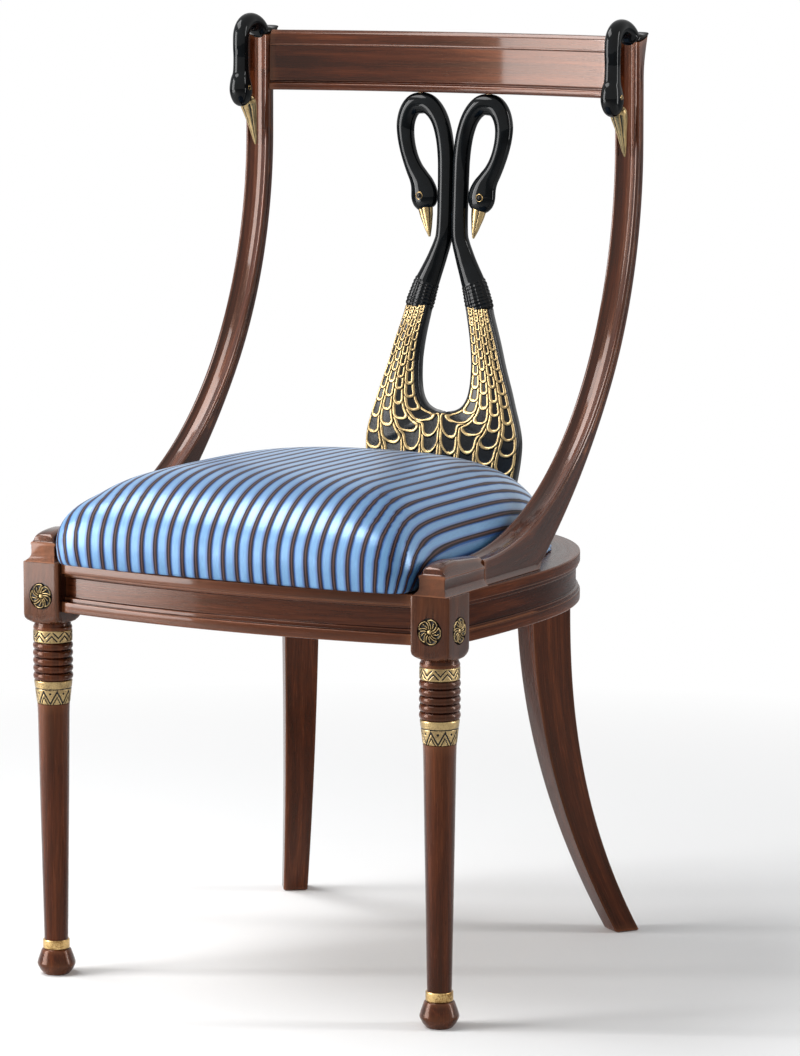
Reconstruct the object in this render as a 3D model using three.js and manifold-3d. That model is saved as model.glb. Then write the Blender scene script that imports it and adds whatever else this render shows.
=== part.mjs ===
// Klismos chair with swept posts, a carved double swan splat and a domed seat pad.
// Millimetres, +Z up, the front of the chair towards -Y, standing on the plane Z = 0.
import * as THREE from 'three';
import { mergeVertices } from 'three/addons/utils/BufferGeometryUtils.js';
import Module from 'manifold-3d';

const wasm = await Module();
wasm.setup();

// Driving dimensions of the whole chair
const seatHalfWidth = 235;
const seatWidestAt = 150;
const seatBackDepth = 268;
const railTop = 408;
const railHeight = 48;
const postTop = 898;

// Fits shared by all joints
const fit = 0.3;
const overrun = 4;
const weldDistance = 1e-4;

// Front leg: square block on a turned shaft
const blockSide = 40.5;
const blockHeight = 60.5;
const shoulderRise = 8;
const neckRadius = 17.6;
const filletRadius = 18.7;
const ringRadius = 19.3;
const ringGrooveRadius = 17.4;
const ringPitch = 7.4;
const ringCount = 5;
const upperBandRadius = 18.9;
const upperBandHeight = 11.5;
const bandWall = 1.7;
const upperBandTop = 340.5;
const lowerBandTopRadius = 18.6;
const lowerBandBottomRadius = 15.9;
const lowerBandTop = 291;
const lowerBandHeight = 22.5;
const shaftTopRadius = 15.6;
const shaftBottomRadius = 11.6;
const ankleRadius = 13;
const ankleTop = 34.5;
const ankleHeight = 9;
const footRadius = 18.6;
const footWidestAt = 11.5;
const footBaseRadius = 12.5;
const legSides = 20;

// Rosettes in round sunk grounds
const rosetteHeightShare = 0.455;
const rosetteGroundRadius = 13;
const rosetteGroundDepth = 2;
const rosetteRadius = 12;
const rosetteInnerRadius = 8.6;
const rosetteThickness = 3.6;
const rosetteBossRadius = 3.4;
const rosetteBossRise = 1.6;
const petalCount = 6;

// Seat frame plan: bowed sides, then a rounded horseshoe back
const seatFrontDrawIn = 8.5;
const seatBackPower = 2.3;
const sideRailSetback = 5.75;
const sideRailThickness = 47;
const backRailThickness = 36;
const backRailJointAngle = 72;
const frontRailSetback = 5.25;
const frontRailBow = 18;
const frontRailThickness = 32;
const railBandHeight = 10.5;
const railLipHeight = 3.4;
const railLipDepth = 2.4;
const frontRailRecess = 8;
const sideRailRecess = 4;
const railArris = 1.6;
const tenonThickness = 12;
const tenonHeight = 34;
const frontTenonLength = 22;
const sideTenonLength = 9;
const backTenonLength = 24;

// Rear sabre leg
const rearFootInset = 42.6;
const rearFootReach = 10;
const rearLegPlanAngle = 52;
const rearLegInset = 0.5;
const rearLegTopDepth = 43;
const rearLegFootDepth = 27;
const rearLegTopWidth = 37;
const rearLegFootWidth = 25.5;
const rearLegArris = 3.2;
const rearLegSweepPower = 2.2;
const rearTenonHeight = 26;
const rearTenonDepth = 20;
const rearTenonWidth = 16;
const footEdge = 2;

// Caps over the leg blocks
const capWidth = 26.5;
const capFront = 4.2;
const capStepHeight = 18.5;
const capStepDepth = 1.6;
const capHeight = 30;
const capSeamHeight = 26.5;
const capSeamY = 62;
const capNoseLength = 30;
const capShoulderShare = 0.3;

// Back posts: an ellipse quarter in the side view
const postWidth = 26.5;
const postThickness = 13.6;
const postFrontTopY = 387;
const postStraightLength = 98;
const postSeamHeight = 23.5;
const postHeelY = 172;
const postHeelPull = 110;
const postLeanIn = 2;
const postBeadWidth = 4.6;
const postBeadRise = 1.2;
const postFluteDepth = 3.2;
const postArris = 3.4;
const footSoftShare = 0.3;
const tailReach = 11;
const tailRise = 60;

// Swan necks on the post tops
const neckThickness = 15;
const swanArcRadius = 18;
const swanRootDrop = 2;
const swanHeadLength = 30;
const swanHeadDepth = 23;
const swanHeadWidth = 18;
const swanDrop = 34;
const beakLength = 42;
const beakWidth = 12;
const beakTipWidth = 2.6;
const swanBaseDepth = 13;
const saddleHeight = 9;
const saddleTailRise = 1.5;
const swanDowelRadius = 2.5;
const swanDowelInPost = 12;
const swanDowelInSwan = 6;

// Crest rail
const crestRise = 5;
const crestHeight = 61;
const crestThickness = 13;
const crestSetback = 2;
const crestSagitta = 28;
const crestBandHeight = 15;
const crestBandCant = 5;
const crestBeadHeight = 8;
const crestGroove = 1.8;
const crestArris = 1.4;
const dowelRadius = 4;
const crestDowelInCrest = 16;
const crestDowelInPost = 10;
const footDowelDepth = 18;
const footDowelRise = 16;

// Splat: two mirrored swans in one board
const splatInset = 25;
const splatTopSetback = 0.5;
const splatThickness = 13;
const splatBodyBulge = 3.5;
const splatNeckThickness = 17;
const splatNeckSpacing = 16.4;
const splatLoopHalfWidth = 56;
const splatDowelX = 39;
const splatHeadX = 33;
const splatHeadLength = 26;
const splatBeakTipX = 25.5;
const splatHeadWidth = 29;
const splatHeadDepth = 18;
const splatBeakWidth = 13;
const splatBeakDepth = 10;
const splatHeadShare = 0.767;
const splatBeakTipShare = 0.666;
const splatWaistShare = 0.666;
const splatCollarShare = 0.544;
const splatOpeningFloorShare = 0.26;
const splatWidestShare = 0.198;
const splatHalfWidth = 88;
const splatBaseHalfWidth = 76;
const splatDowelRadius = 3;
const splatDowelHalf = 12;

// Seat board and pad
const boardThickness = 9;
const boardInset = 5;
const padSideClearance = 0.95;
const padBackClearance = 5;
const padFrontOverhang = 10;
const padCentreY = 137;
const padBackPower = 2.7;
const padFrontPower = 8;
const padHeight = 92;
const padBottomInset = 8;
const padBulgeHeight = 18;
const padCrownPower = 4;
const padSidePower = 2.3;
const padSegments = 48;
const padRings = 11;

// Corner blocks and fasteners
const cornerBlockHeight = 28;
const cornerBlockLength = 62;
const cornerBlockNose = 12;
const rearBlockStartAngle = 34;
const rearBlockEndAngle = 62;
const screwRadius = 2;
const screwHeadRadius = 4;
const screwHeadHeight = 2.6;
const screwSink = 3;
const blockScrewReach = 14;
const seatScrewReach = 6;
const screwSides = 8;
const dowelSides = 10;

// Colours read from the wood, gilding, satin and steel
const mahogany = 0x4a2318;
const ebonised = 0x14181a;
const gilt = 0xc9a24a;
const satin = 0x5f8fc4;
const beech = 0xb08a5e;
const steel = 0xa8a8a4;

// Values worked out from the driving dimensions
const blockHalf = blockSide / 2;
const seatFrontHalfWidth = seatHalfWidth - seatFrontDrawIn;
const legX = seatFrontHalfWidth + sideRailSetback - blockHalf;
const sideRailInnerHalfWidth = seatHalfWidth - sideRailThickness;
const seatBackY = seatWidestAt + seatBackDepth;
const blockBottom = railTop - blockHeight;
const railBottom = railTop - railHeight;
const frontRailHalf = legX - blockHalf;
const frontRailEndY = frontRailSetback - blockHalf;
const crestTop = postTop + crestRise;
const crestBottom = crestTop - crestHeight;
const postSweepTop = postTop - postStraightLength;
const splatLoopTop = crestBottom;
const splatHeight = splatLoopTop - railTop;
const splatHeadZ = railTop + splatHeight * splatHeadShare;
const splatBeakTipZ = railTop + splatHeight * splatBeakTipShare;
const splatWaistZ = railTop + splatHeight * splatWaistShare;
const splatCollarZ = railTop + splatHeight * splatCollarShare;
const splatOpeningFloorZ = railTop + splatHeight * splatOpeningFloorShare;
const splatWidestZ = railTop + splatHeight * splatWidestShare;
const crestEndY = postFrontTopY + crestSetback;
const splatBottomY = seatBackY - splatInset;
const splatTopY = crestEndY + crestSagitta + crestThickness / 2 + splatTopSetback;
const padHalfWidth = legX - postWidth / 2 - padSideClearance;
const padBackY = splatBottomY - splatThickness / 2 - splatBodyBulge - padBackClearance;
const padBackReach = padBackY - padCentreY;
const padFrontReach = padCentreY - (frontRailEndY - frontRailBow - padFrontOverhang);

const chair = new THREE.Group();

function addPart(name, geometry, color, roughness, metalness = 0) {
  const material = new THREE.MeshStandardMaterial({ color, roughness, metalness });
  const mesh = new THREE.Mesh(geometry, material);
  mesh.name = name;
  chair.add(mesh);
  return mesh;
}

// A closed three.js geometry as a solid that can be cut and joined.
function solidFrom(geometry) {
  const bare = geometry.clone();
  bare.deleteAttribute('normal');
  bare.deleteAttribute('uv');
  const merged = mergeVertices(bare, weldDistance);
  return new wasm.Manifold(new wasm.Mesh({
    numProp: 3,
    vertProperties: Float32Array.from(merged.getAttribute('position').array),
    triVerts: Uint32Array.from(merged.index.array),
  }));
}

function geometryFrom(solid) {
  const { vertProperties, triVerts } = solid.getMesh();
  const geometry = new THREE.BufferGeometry();
  geometry.setAttribute('position', new THREE.BufferAttribute(vertProperties, 3));
  geometry.setIndex(new THREE.BufferAttribute(triVerts, 1));
  geometry.computeVertexNormals();
  return geometry;
}

function cutAll(solid, cutters) {
  return cutters.reduce((whole, cutter) => whole.subtract(cutter), solid);
}

// The faces that close a ring, wound the way the ring runs.
function capFaces(flat) {
  const faces = THREE.ShapeUtils.triangulateShape(flat, []);
  const [a, b, c] = faces[0].map((index) => flat[index]);
  const faceTurn = Math.sign((b.x - a.x) * (c.y - a.y) - (c.x - a.x) * (b.y - a.y));
  const ringTurn = Math.sign(THREE.ShapeUtils.area(flat));
  return faceTurn === ringTurn ? faces : faces.map((face) => [...face].reverse());
}

// Skins a row of rings into one closed solid. Each ring is an array of points,
// and flatten gives a ring's points in its own plane, for the end faces.
function loft(rings, flatten) {
  const count = rings[0].length;
  const points = rings.flat();
  const faces = [];
  for (let i = 0; i + 1 < rings.length; i += 1) {
    for (let j = 0; j < count; j += 1) {
      const here = i * count + j;
      const beside = i * count + ((j + 1) % count);
      faces.push(here, beside, beside + count, here, beside + count, here + count);
    }
  }
  const last = points.length - count;
  for (const [a, b, c] of capFaces(rings[0].map(flatten))) faces.push(c, b, a);
  for (const [a, b, c] of capFaces(rings.at(-1).map(flatten))) {
    faces.push(last + a, last + b, last + c);
  }
  let volume = 0;
  for (let k = 0; k < faces.length; k += 3) {
    const [a, b, c] = [faces[k], faces[k + 1], faces[k + 2]].map((index) => points[index]);
    volume += a.dot(new THREE.Vector3().crossVectors(b, c));
  }
  if (volume < 0) faces.reverse();
  const geometry = new THREE.BufferGeometry().setFromPoints(points);
  geometry.setIndex(faces);
  geometry.computeVertexNormals();
  return geometry;
}

const seenFromFront = (p) => new THREE.Vector2(p.x, p.z);
const seenFromSide = (p) => new THREE.Vector2(p.y, p.z);
const seenFromAbove = (p) => new THREE.Vector2(p.x, p.y);

function boxSolid(x0, x1, y0, y1, z0, z1) {
  const geometry = new THREE.BoxGeometry(x1 - x0, y1 - y0, z1 - z0);
  geometry.translate((x0 + x1) / 2, (y0 + y1) / 2, (z0 + z1) / 2);
  return solidFrom(geometry);
}

// A round bar from one point to another.
function barGeometry(from, to, radius, sides) {
  const run = new THREE.Vector3().subVectors(to, from);
  const geometry = new THREE.CylinderGeometry(radius, radius, run.length(), sides);
  const turn = new THREE.Quaternion().setFromUnitVectors(
    new THREE.Vector3(0, 1, 0),
    run.clone().normalize(),
  );
  geometry.applyQuaternion(turn);
  geometry.translate((from.x + to.x) / 2, (from.y + to.y) / 2, (from.z + to.z) / 2);
  return geometry;
}

// A hole for a round bar, longer than the bar by the fit at each end.
function holeSolid(from, to, radius, sides) {
  const stretch = new THREE.Vector3().subVectors(to, from).setLength(fit);
  const start = from.clone().sub(stretch);
  const end = to.clone().add(stretch);
  return solidFrom(barGeometry(start, end, radius + fit, sides));
}

// A solid of revolution about Z, from pairs of radius and height.
function turned(profile, sides) {
  const points = profile.map(([radius, z]) => new THREE.Vector2(radius, z));
  const geometry = new THREE.LatheGeometry(points, sides);
  geometry.rotateX(Math.PI / 2);
  return geometry;
}

function mirrored(geometry) {
  const copy = geometry.clone();
  copy.scale(-1, 1, 1);
  const order = copy.index.array;
  for (let k = 0; k < order.length; k += 3) {
    [order[k + 1], order[k + 2]] = [order[k + 2], order[k + 1]];
  }
  copy.computeVertexNormals();
  return copy;
}

// Adds a piece on the right (+X) and its mirror image on the left.
function addPair(name, geometry, color, roughness, metalness = 0) {
  addPart(`right_${name}`, geometry, color, roughness, metalness);
  addPart(`left_${name}`, mirrored(geometry), color, roughness, metalness);
}

// Front legs

function shaftProfile() {
  const upperBandBottom = upperBandTop - upperBandHeight;
  const lowerBandBottom = lowerBandTop - lowerBandHeight;
  const ankleBottom = ankleTop - ankleHeight;
  const ringsTop = (upperBandBottom + lowerBandTop + ringPitch * ringCount) / 2;
  const profile = [
    [0, 0],
    [footBaseRadius, 0],
    [(footBaseRadius + footRadius) / 2 + bandWall, footWidestAt / 3],
    [footRadius, footWidestAt],
    [(footRadius + ankleRadius) / 2, (footWidestAt + ankleBottom) / 2],
    [ankleRadius - bandWall / 2, ankleBottom - fit],
    [ankleRadius - bandWall, ankleBottom - fit],
    [ankleRadius - bandWall, ankleTop + fit],
    [shaftBottomRadius, ankleTop + fit],
    [shaftTopRadius, lowerBandBottom - fit],
    [lowerBandBottomRadius - bandWall, lowerBandBottom - fit],
    [lowerBandTopRadius - bandWall, lowerBandTop + fit],
  ];
  for (let k = ringCount - 1; k >= 0; k -= 1) {
    const top = ringsTop - k * ringPitch;
    profile.push([ringGrooveRadius, top - ringPitch + bandWall / 2]);
    profile.push([ringRadius, top - ringPitch + bandWall]);
    profile.push([ringRadius, top - bandWall]);
    profile.push([ringGrooveRadius, top - bandWall / 2]);
  }
  profile.push([upperBandRadius - bandWall, upperBandBottom - fit]);
  profile.push([upperBandRadius - bandWall, upperBandTop + fit]);
  profile.push([filletRadius, upperBandTop + fit]);
  profile.push([filletRadius, upperBandTop + bandWall * 2]);
  profile.push([neckRadius, upperBandTop + bandWall * 3]);
  profile.push([neckRadius, blockBottom + overrun]);
  profile.push([0, blockBottom + overrun]);
  return profile;
}

// A flared cone that trims the block's lower corners into rounded shoulders.
function shoulderProfile() {
  const cornerRadius = Math.hypot(blockHalf, blockHalf) + fit;
  return [
    [0, blockBottom],
    [blockHalf, blockBottom],
    [(blockHalf + cornerRadius) / 2 + fit, blockBottom + shoulderRise * 0.35],
    [cornerRadius, blockBottom + shoulderRise],
    [cornerRadius, railTop + overrun],
    [0, railTop + overrun],
  ];
}

const rosetteZ = blockBottom + blockHeight * rosetteHeightShare;

function rosetteGrounds() {
  const floor = blockHalf - rosetteGroundDepth;
  const mouth = blockHalf + overrun;
  const front = [
    new THREE.Vector3(legX, -floor, rosetteZ),
    new THREE.Vector3(legX, -mouth, rosetteZ),
  ];
  const side = [
    new THREE.Vector3(legX + floor, 0, rosetteZ),
    new THREE.Vector3(legX + mouth, 0, rosetteZ),
  ];
  return [front, side].map(([from, to]) => solidFrom(
    barGeometry(from, to, rosetteGroundRadius, legSides),
  ));
}

const tenonBottom = (railTop + railBottom - tenonHeight) / 2;
const tenonTop = tenonBottom + tenonHeight;
const frontTenonY = frontRailEndY + frontRailRecess + tenonThickness / 2;
const sideTenonX = legX;

function tenonBox(x0, x1, y0, y1, grow) {
  return boxSolid(x0 - grow, x1 + grow, y0 - grow, y1 + grow, tenonBottom - grow, tenonTop + grow);
}

function frontTenon(grow) {
  return tenonBox(
    frontRailHalf - overrun,
    frontRailHalf + frontTenonLength,
    frontTenonY - tenonThickness / 2,
    frontTenonY + tenonThickness / 2,
    grow,
  );
}

function sideTenon(grow) {
  return tenonBox(
    sideTenonX - tenonThickness / 2,
    sideTenonX + tenonThickness / 2,
    blockHalf - sideTenonLength,
    blockHalf + overrun,
    grow,
  );
}

function frontLegGeometry() {
  const block = boxSolid(
    legX - blockHalf,
    legX + blockHalf,
    -blockHalf,
    blockHalf,
    blockBottom,
    railTop,
  );
  const shoulder = turned(shoulderProfile(), legSides);
  shoulder.translate(legX, 0, 0);
  const shaft = turned(shaftProfile(), legSides);
  shaft.translate(legX, 0, 0);
  const whole = block.intersect(solidFrom(shoulder)).add(solidFrom(shaft));
  return geometryFrom(cutAll(whole, [...rosetteGrounds(), frontTenon(fit), sideTenon(fit)]));
}

// Gilt bands let into the turned shaft

function bandGeometry(topRadius, bottomRadius, top, height) {
  const bevel = bandWall / 3;
  const bottom = top - height;
  const geometry = turned([
    [bottomRadius - bandWall + fit, bottom],
    [bottomRadius - bevel, bottom],
    [bottomRadius, bottom + bevel],
    [topRadius, top - bevel],
    [topRadius - bevel, top],
    [topRadius - bandWall + fit, top],
    [bottomRadius - bandWall + fit, bottom],
  ], legSides);
  geometry.translate(legX, 0, 0);
  return geometryFrom(solidFrom(geometry));
}

// A six-petalled flower lying on its ground, facing +Z before it is turned.
function rosetteGeometry() {
  const outline = new THREE.Shape();
  const steps = petalCount * 6;
  for (let k = 0; k < steps; k += 1) {
    const angle = (2 * Math.PI * k) / steps;
    const swell = Math.abs(Math.cos((angle * petalCount) / 2));
    const radius = THREE.MathUtils.lerp(rosetteInnerRadius, rosetteRadius, swell);
    const [x, y] = [radius * Math.cos(angle), radius * Math.sin(angle)];
    if (k === 0) outline.moveTo(x, y);
    else outline.lineTo(x, y);
  }
  const flower = new THREE.ExtrudeGeometry(outline, { depth: rosetteThickness, bevelEnabled: false });
  const boss = turned([
    [0, rosetteThickness - rosetteBossRise],
    [rosetteBossRadius, rosetteThickness - rosetteBossRise],
    [rosetteBossRadius * 0.8, rosetteThickness + rosetteBossRise * 0.7],
    [0, rosetteThickness + rosetteBossRise],
  ], petalCount * 2);
  return geometryFrom(solidFrom(flower).add(solidFrom(boss)));
}

function addFrontLegs() {
  addPair('front_leg', frontLegGeometry(), mahogany, 0.3);
  addPair('upper_gilt_band', bandGeometry(
    upperBandRadius, upperBandRadius, upperBandTop, upperBandHeight), gilt, 0.35, 0.9);
  addPair('lower_gilt_band', bandGeometry(
    lowerBandTopRadius, lowerBandBottomRadius, lowerBandTop, lowerBandHeight), gilt, 0.35, 0.9);
  addPair('ankle_ring', bandGeometry(
    ankleRadius, ankleRadius, ankleTop, ankleHeight), gilt, 0.3, 0.9);
  const seat = blockHalf - rosetteGroundDepth + fit;
  const front = rosetteGeometry();
  front.rotateX(Math.PI / 2);
  front.translate(legX, -seat, rosetteZ);
  addPair('front_rosette', front, gilt, 0.4, 0.9);
  const side = rosetteGeometry();
  side.rotateY(Math.PI / 2);
  side.translate(legX + seat, 0, rosetteZ);
  addPair('side_rosette', side, gilt, 0.4, 0.9);
}

// Seat frame

// The rail's section, as pairs of depth behind the outer face and height.
// Two raised bands stand over a recessed frieze, each with a small lip.
function railSection(recess, thickness) {
  const upperBand = railTop - railBandHeight;
  const lowerBand = railBottom + railBandHeight;
  return [
    [railArris, railTop],
    [0, railTop - railArris],
    [0, upperBand + railArris],
    [railArris, upperBand],
    [recess - railLipDepth, upperBand],
    [recess - railLipDepth, upperBand - railLipHeight],
    [recess, upperBand - railLipHeight - railArris / 2],
    [recess, lowerBand + railLipHeight + railArris / 2],
    [recess - railLipDepth, lowerBand + railLipHeight],
    [recess - railLipDepth, lowerBand],
    [railArris, lowerBand],
    [0, lowerBand - railArris],
    [0, railBottom + railArris],
    [railArris, railBottom],
    [thickness, railBottom],
    [thickness, railTop],
  ];
}

function frontRailFaceY(x) {
  const share = x / frontRailHalf;
  return frontRailEndY - frontRailBow * (1 - share * share);
}

function frontRailGeometry() {
  const stations = 14;
  const rings = [];
  for (let k = 0; k <= stations; k += 1) {
    const x = frontRailHalf * ((2 * k) / stations - 1);
    const face = frontRailFaceY(x);
    rings.push(railSection(frontRailRecess, frontRailThickness)
      .map(([depth, z]) => new THREE.Vector3(x, face + depth, z)));
  }
  const right = frontTenon(0);
  const left = solidFrom(mirrored(geometryFrom(right)));
  return solidFrom(loft(rings, seenFromSide)).add(right).add(left);
}

// A point on a horseshoe of the given half width and depth behind the widest point.
function horseshoe(halfWidth, depth, angle) {
  const power = 2 / seatBackPower;
  const across = Math.sign(Math.cos(angle)) * Math.abs(Math.cos(angle)) ** power;
  return new THREE.Vector3(halfWidth * across, seatWidestAt + depth * Math.sin(angle) ** power, 0);
}

const innerBackDepth = seatBackDepth - backRailThickness;

// The outer and inner points of the seat frame at a plan angle, 0 at the widest point.
function frameAt(degrees) {
  const angle = THREE.MathUtils.degToRad(degrees);
  const outer = horseshoe(seatHalfWidth, seatBackDepth, angle);
  const inner = horseshoe(sideRailInnerHalfWidth, innerBackDepth, angle);
  return { outer, inner };
}

// The same in front of the widest point, where the side bows in towards the front.
function sideAt(y) {
  const share = (seatWidestAt - y) / (seatWidestAt - blockHalf);
  const drawIn = (seatHalfWidth - seatFrontHalfWidth) * share * share;
  return {
    outer: new THREE.Vector3(seatHalfWidth - drawIn, y, 0),
    inner: new THREE.Vector3(sideRailInnerHalfWidth, y, 0),
  };
}

function frameRing({ outer, inner }) {
  const inward = new THREE.Vector3().subVectors(inner, outer);
  const thickness = inward.length();
  inward.normalize();
  return railSection(sideRailRecess, thickness).map(([depth, z]) => (
    outer.clone().addScaledVector(inward, depth).setZ(z)
  ));
}

function frameNormal(degrees) {
  const step = 0.01;
  const along = frameAt(degrees + step).outer.sub(frameAt(degrees - step).outer);
  return new THREE.Vector3(along.y, -along.x, 0).normalize();
}

// A tenon across the seam between a side rail and the back rail.
function backTenon(grow) {
  const { outer, inner } = frameAt(backRailJointAngle);
  const centre = outer.clone().add(inner).multiplyScalar(0.5);
  const normal = frameNormal(backRailJointAngle);
  const geometry = new THREE.BoxGeometry(
    backTenonLength * 2 + grow * 2,
    tenonThickness + grow * 2,
    tenonHeight + grow * 2,
  );
  geometry.rotateZ(Math.atan2(normal.y, normal.x) - Math.PI / 2);
  geometry.translate(centre.x, centre.y, (railTop + railBottom) / 2);
  return solidFrom(geometry);
}

function backRailGeometry() {
  const stations = 14;
  const rings = [];
  for (let k = 0; k <= stations; k += 1) {
    const share = (2 * k) / stations - 1;
    rings.push(frameRing(frameAt(90 + (90 - backRailJointAngle) * share)));
  }
  const body = solidFrom(loft(rings, (p) => new THREE.Vector2(p.y, p.z)));
  const right = backTenon(0);
  const left = solidFrom(mirrored(geometryFrom(right)));
  return body.add(right).add(left);
}

// Rear legs

const rearLegTop = (() => {
  const { outer } = frameAt(rearLegPlanAngle);
  const normal = frameNormal(rearLegPlanAngle);
  return outer.addScaledVector(normal, -(rearLegTopDepth / 2 + rearLegInset));
})();
const rearFoot = new THREE.Vector3(seatHalfWidth - rearFootInset, seatBackY + rearFootReach, 0);
const rearLegRun = new THREE.Vector3().subVectors(rearFoot, rearLegTop);
const rearLegOut = rearLegRun.clone().normalize();
const rearLegAcross = new THREE.Vector3(rearLegOut.y, -rearLegOut.x, 0);

// One level section of the sabre leg: its centre sweeps outwards towards the floor.
function rearLegRing(share) {
  const z = railBottom * share;
  const sweep = (1 - share) ** rearLegSweepPower;
  const ease = share * share * (3 - 2 * share);
  const halfDepth = THREE.MathUtils.lerp(rearLegFootDepth, rearLegTopDepth, ease) / 2;
  const halfWidth = THREE.MathUtils.lerp(rearLegFootWidth, rearLegTopWidth, share) / 2;
  const centre = rearLegTop.clone().addScaledVector(rearLegRun, sweep);
  const edge = rearLegArris;
  const bead = rearLegArris * 0.3;
  const corners = [];
  for (const [a, b] of [[1, 1], [-1, 1], [-1, -1], [1, -1]]) {
    const soft = [
      [a * halfWidth, b * (halfDepth - edge)],
      [a * (halfWidth - bead), b * (halfDepth - bead)],
      [a * (halfWidth - edge), b * halfDepth],
    ];
    corners.push(...(a * b > 0 ? soft : soft.reverse()));
  }
  return corners.map(([across, out]) => centre.clone()
    .addScaledVector(rearLegAcross, across)
    .addScaledVector(rearLegOut, out)
    .setZ(z));
}

function rearTenon(grow) {
  const geometry = new THREE.BoxGeometry(
    rearTenonWidth + grow * 2,
    rearTenonDepth + grow * 2,
    rearTenonHeight + overrun + grow,
  );
  geometry.rotateZ(Math.atan2(rearLegOut.y, rearLegOut.x) - Math.PI / 2);
  geometry.translate(
    rearLegTop.x,
    rearLegTop.y,
    railBottom + (rearTenonHeight - overrun + grow) / 2,
  );
  return solidFrom(geometry);
}

function rearLegGeometry() {
  const stations = 12;
  const rings = [];
  const inward = (2 * footEdge) / rearLegFootWidth;
  rings.push(rearLegRing(0).map((p) => p.lerp(rearFoot, inward)));
  rings.push(rearLegRing(footEdge / railBottom));
  for (let k = 1; k <= stations; k += 1) rings.push(rearLegRing(k / stations));
  return geometryFrom(solidFrom(loft(rings, seenFromAbove)).add(rearTenon(0)));
}

// Caps, back posts and the dowels under them

const capDowelY = (blockHalf + capSeamY) / 2;
const postDowelY = (capSeamY + postHeelY) / 2;

function footDowelSpan(y) {
  return [
    new THREE.Vector3(legX, y, railTop - footDowelDepth),
    new THREE.Vector3(legX, y, railTop + footDowelRise),
  ];
}

function capRing(y, height) {
  const half = capWidth / 2;
  const shoulder = half - capStepDepth;
  const crownSteps = 8;
  const step = railTop + capStepHeight;
  const rise = Math.max(height - capStepHeight, fit);
  const ring = [
    [-half, railTop],
    [-half, step - capStepDepth],
    [-shoulder, step],
  ];
  for (let k = 0; k <= crownSteps; k += 1) {
    const share = (2 * k) / crownSteps - 1;
    const crown = (1 - Math.abs(share) ** 3) ** (1 / 3);
    ring.push([shoulder * share, step + rise * THREE.MathUtils.lerp(capShoulderShare, 1, crown)]);
  }
  ring.push([shoulder, step], [half, step - capStepDepth], [half, railTop]);
  return ring.map(([x, z]) => new THREE.Vector3(legX + x, y, z));
}

function capGeometry() {
  const front = capFront - blockHalf;
  const rings = [capRing(front, capStepHeight)];
  const noseSteps = 6;
  for (let k = 0; k <= noseSteps; k += 1) {
    const share = k / noseSteps;
    const rise = Math.sqrt(1 - (1 - share) ** 2);
    const start = front + capStepDepth;
    const height = THREE.MathUtils.lerp(capStepHeight + capStepDepth, capHeight, rise);
    rings.push(capRing(start + capNoseLength * share ** 1.4, height));
  }
  rings.push(capRing(capSeamY - fit, capSeamHeight));
  const body = solidFrom(loft(rings, seenFromFront));
  return geometryFrom(body.subtract(holeSolid(...footDowelSpan(capDowelY), dowelRadius, dowelSides)));
}

const sweepDepth = postFrontTopY - capSeamY;
const sweepHeight = postSweepTop - railTop - postSeamHeight;

// Front edge of the post in the side view: a quarter ellipse, then straight up.
function postFront(degrees) {
  const angle = THREE.MathUtils.degToRad(degrees);
  return new THREE.Vector2(
    capSeamY + sweepDepth * Math.cos(angle),
    postSweepTop - sweepHeight * Math.sin(angle),
  );
}

function postRear(degrees) {
  const angle = THREE.MathUtils.degToRad(degrees);
  const front = postFront(degrees);
  const slope = new THREE.Vector2(sweepHeight * Math.cos(angle), -sweepDepth * Math.sin(angle));
  return front.addScaledVector(slope.normalize(), postThickness);
}

function postShift(z) {
  return -postLeanIn * ((z - railTop) / (postTop - railTop));
}

// One section of the post: beads and a flute on the front, soft corners behind.
function postRing(front, rear, softness) {
  const half = postWidth / 2;
  const back = new THREE.Vector2().subVectors(rear, front);
  const depth = back.length();
  back.normalize();
  const bead = postBeadWidth;
  const soft = postArris * softness;
  const flute = postFluteDepth;
  const inner = half - bead;
  const outline = [
    [-half, postBeadRise],
    [-half + bead * 0.3, 0],
    [-half + bead * 0.75, 0],
    [-inner, postBeadRise],
    [-inner * 0.55, flute * 0.85],
    [0, flute],
    [inner * 0.55, flute * 0.85],
    [inner, postBeadRise],
    [half - bead * 0.75, 0],
    [half - bead * 0.3, 0],
    [half, postBeadRise],
    [half, depth - soft],
    [half - soft * 0.3, depth - soft * 0.3],
    [half - soft, depth],
    [-half + soft, depth],
    [-half + soft * 0.3, depth - soft * 0.3],
    [-half, depth - soft],
  ];
  return outline.map(([x, inward]) => {
    const point = front.clone().addScaledVector(back, inward);
    return new THREE.Vector3(legX + x + postShift(point.y), point.x, point.y);
  });
}

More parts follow.
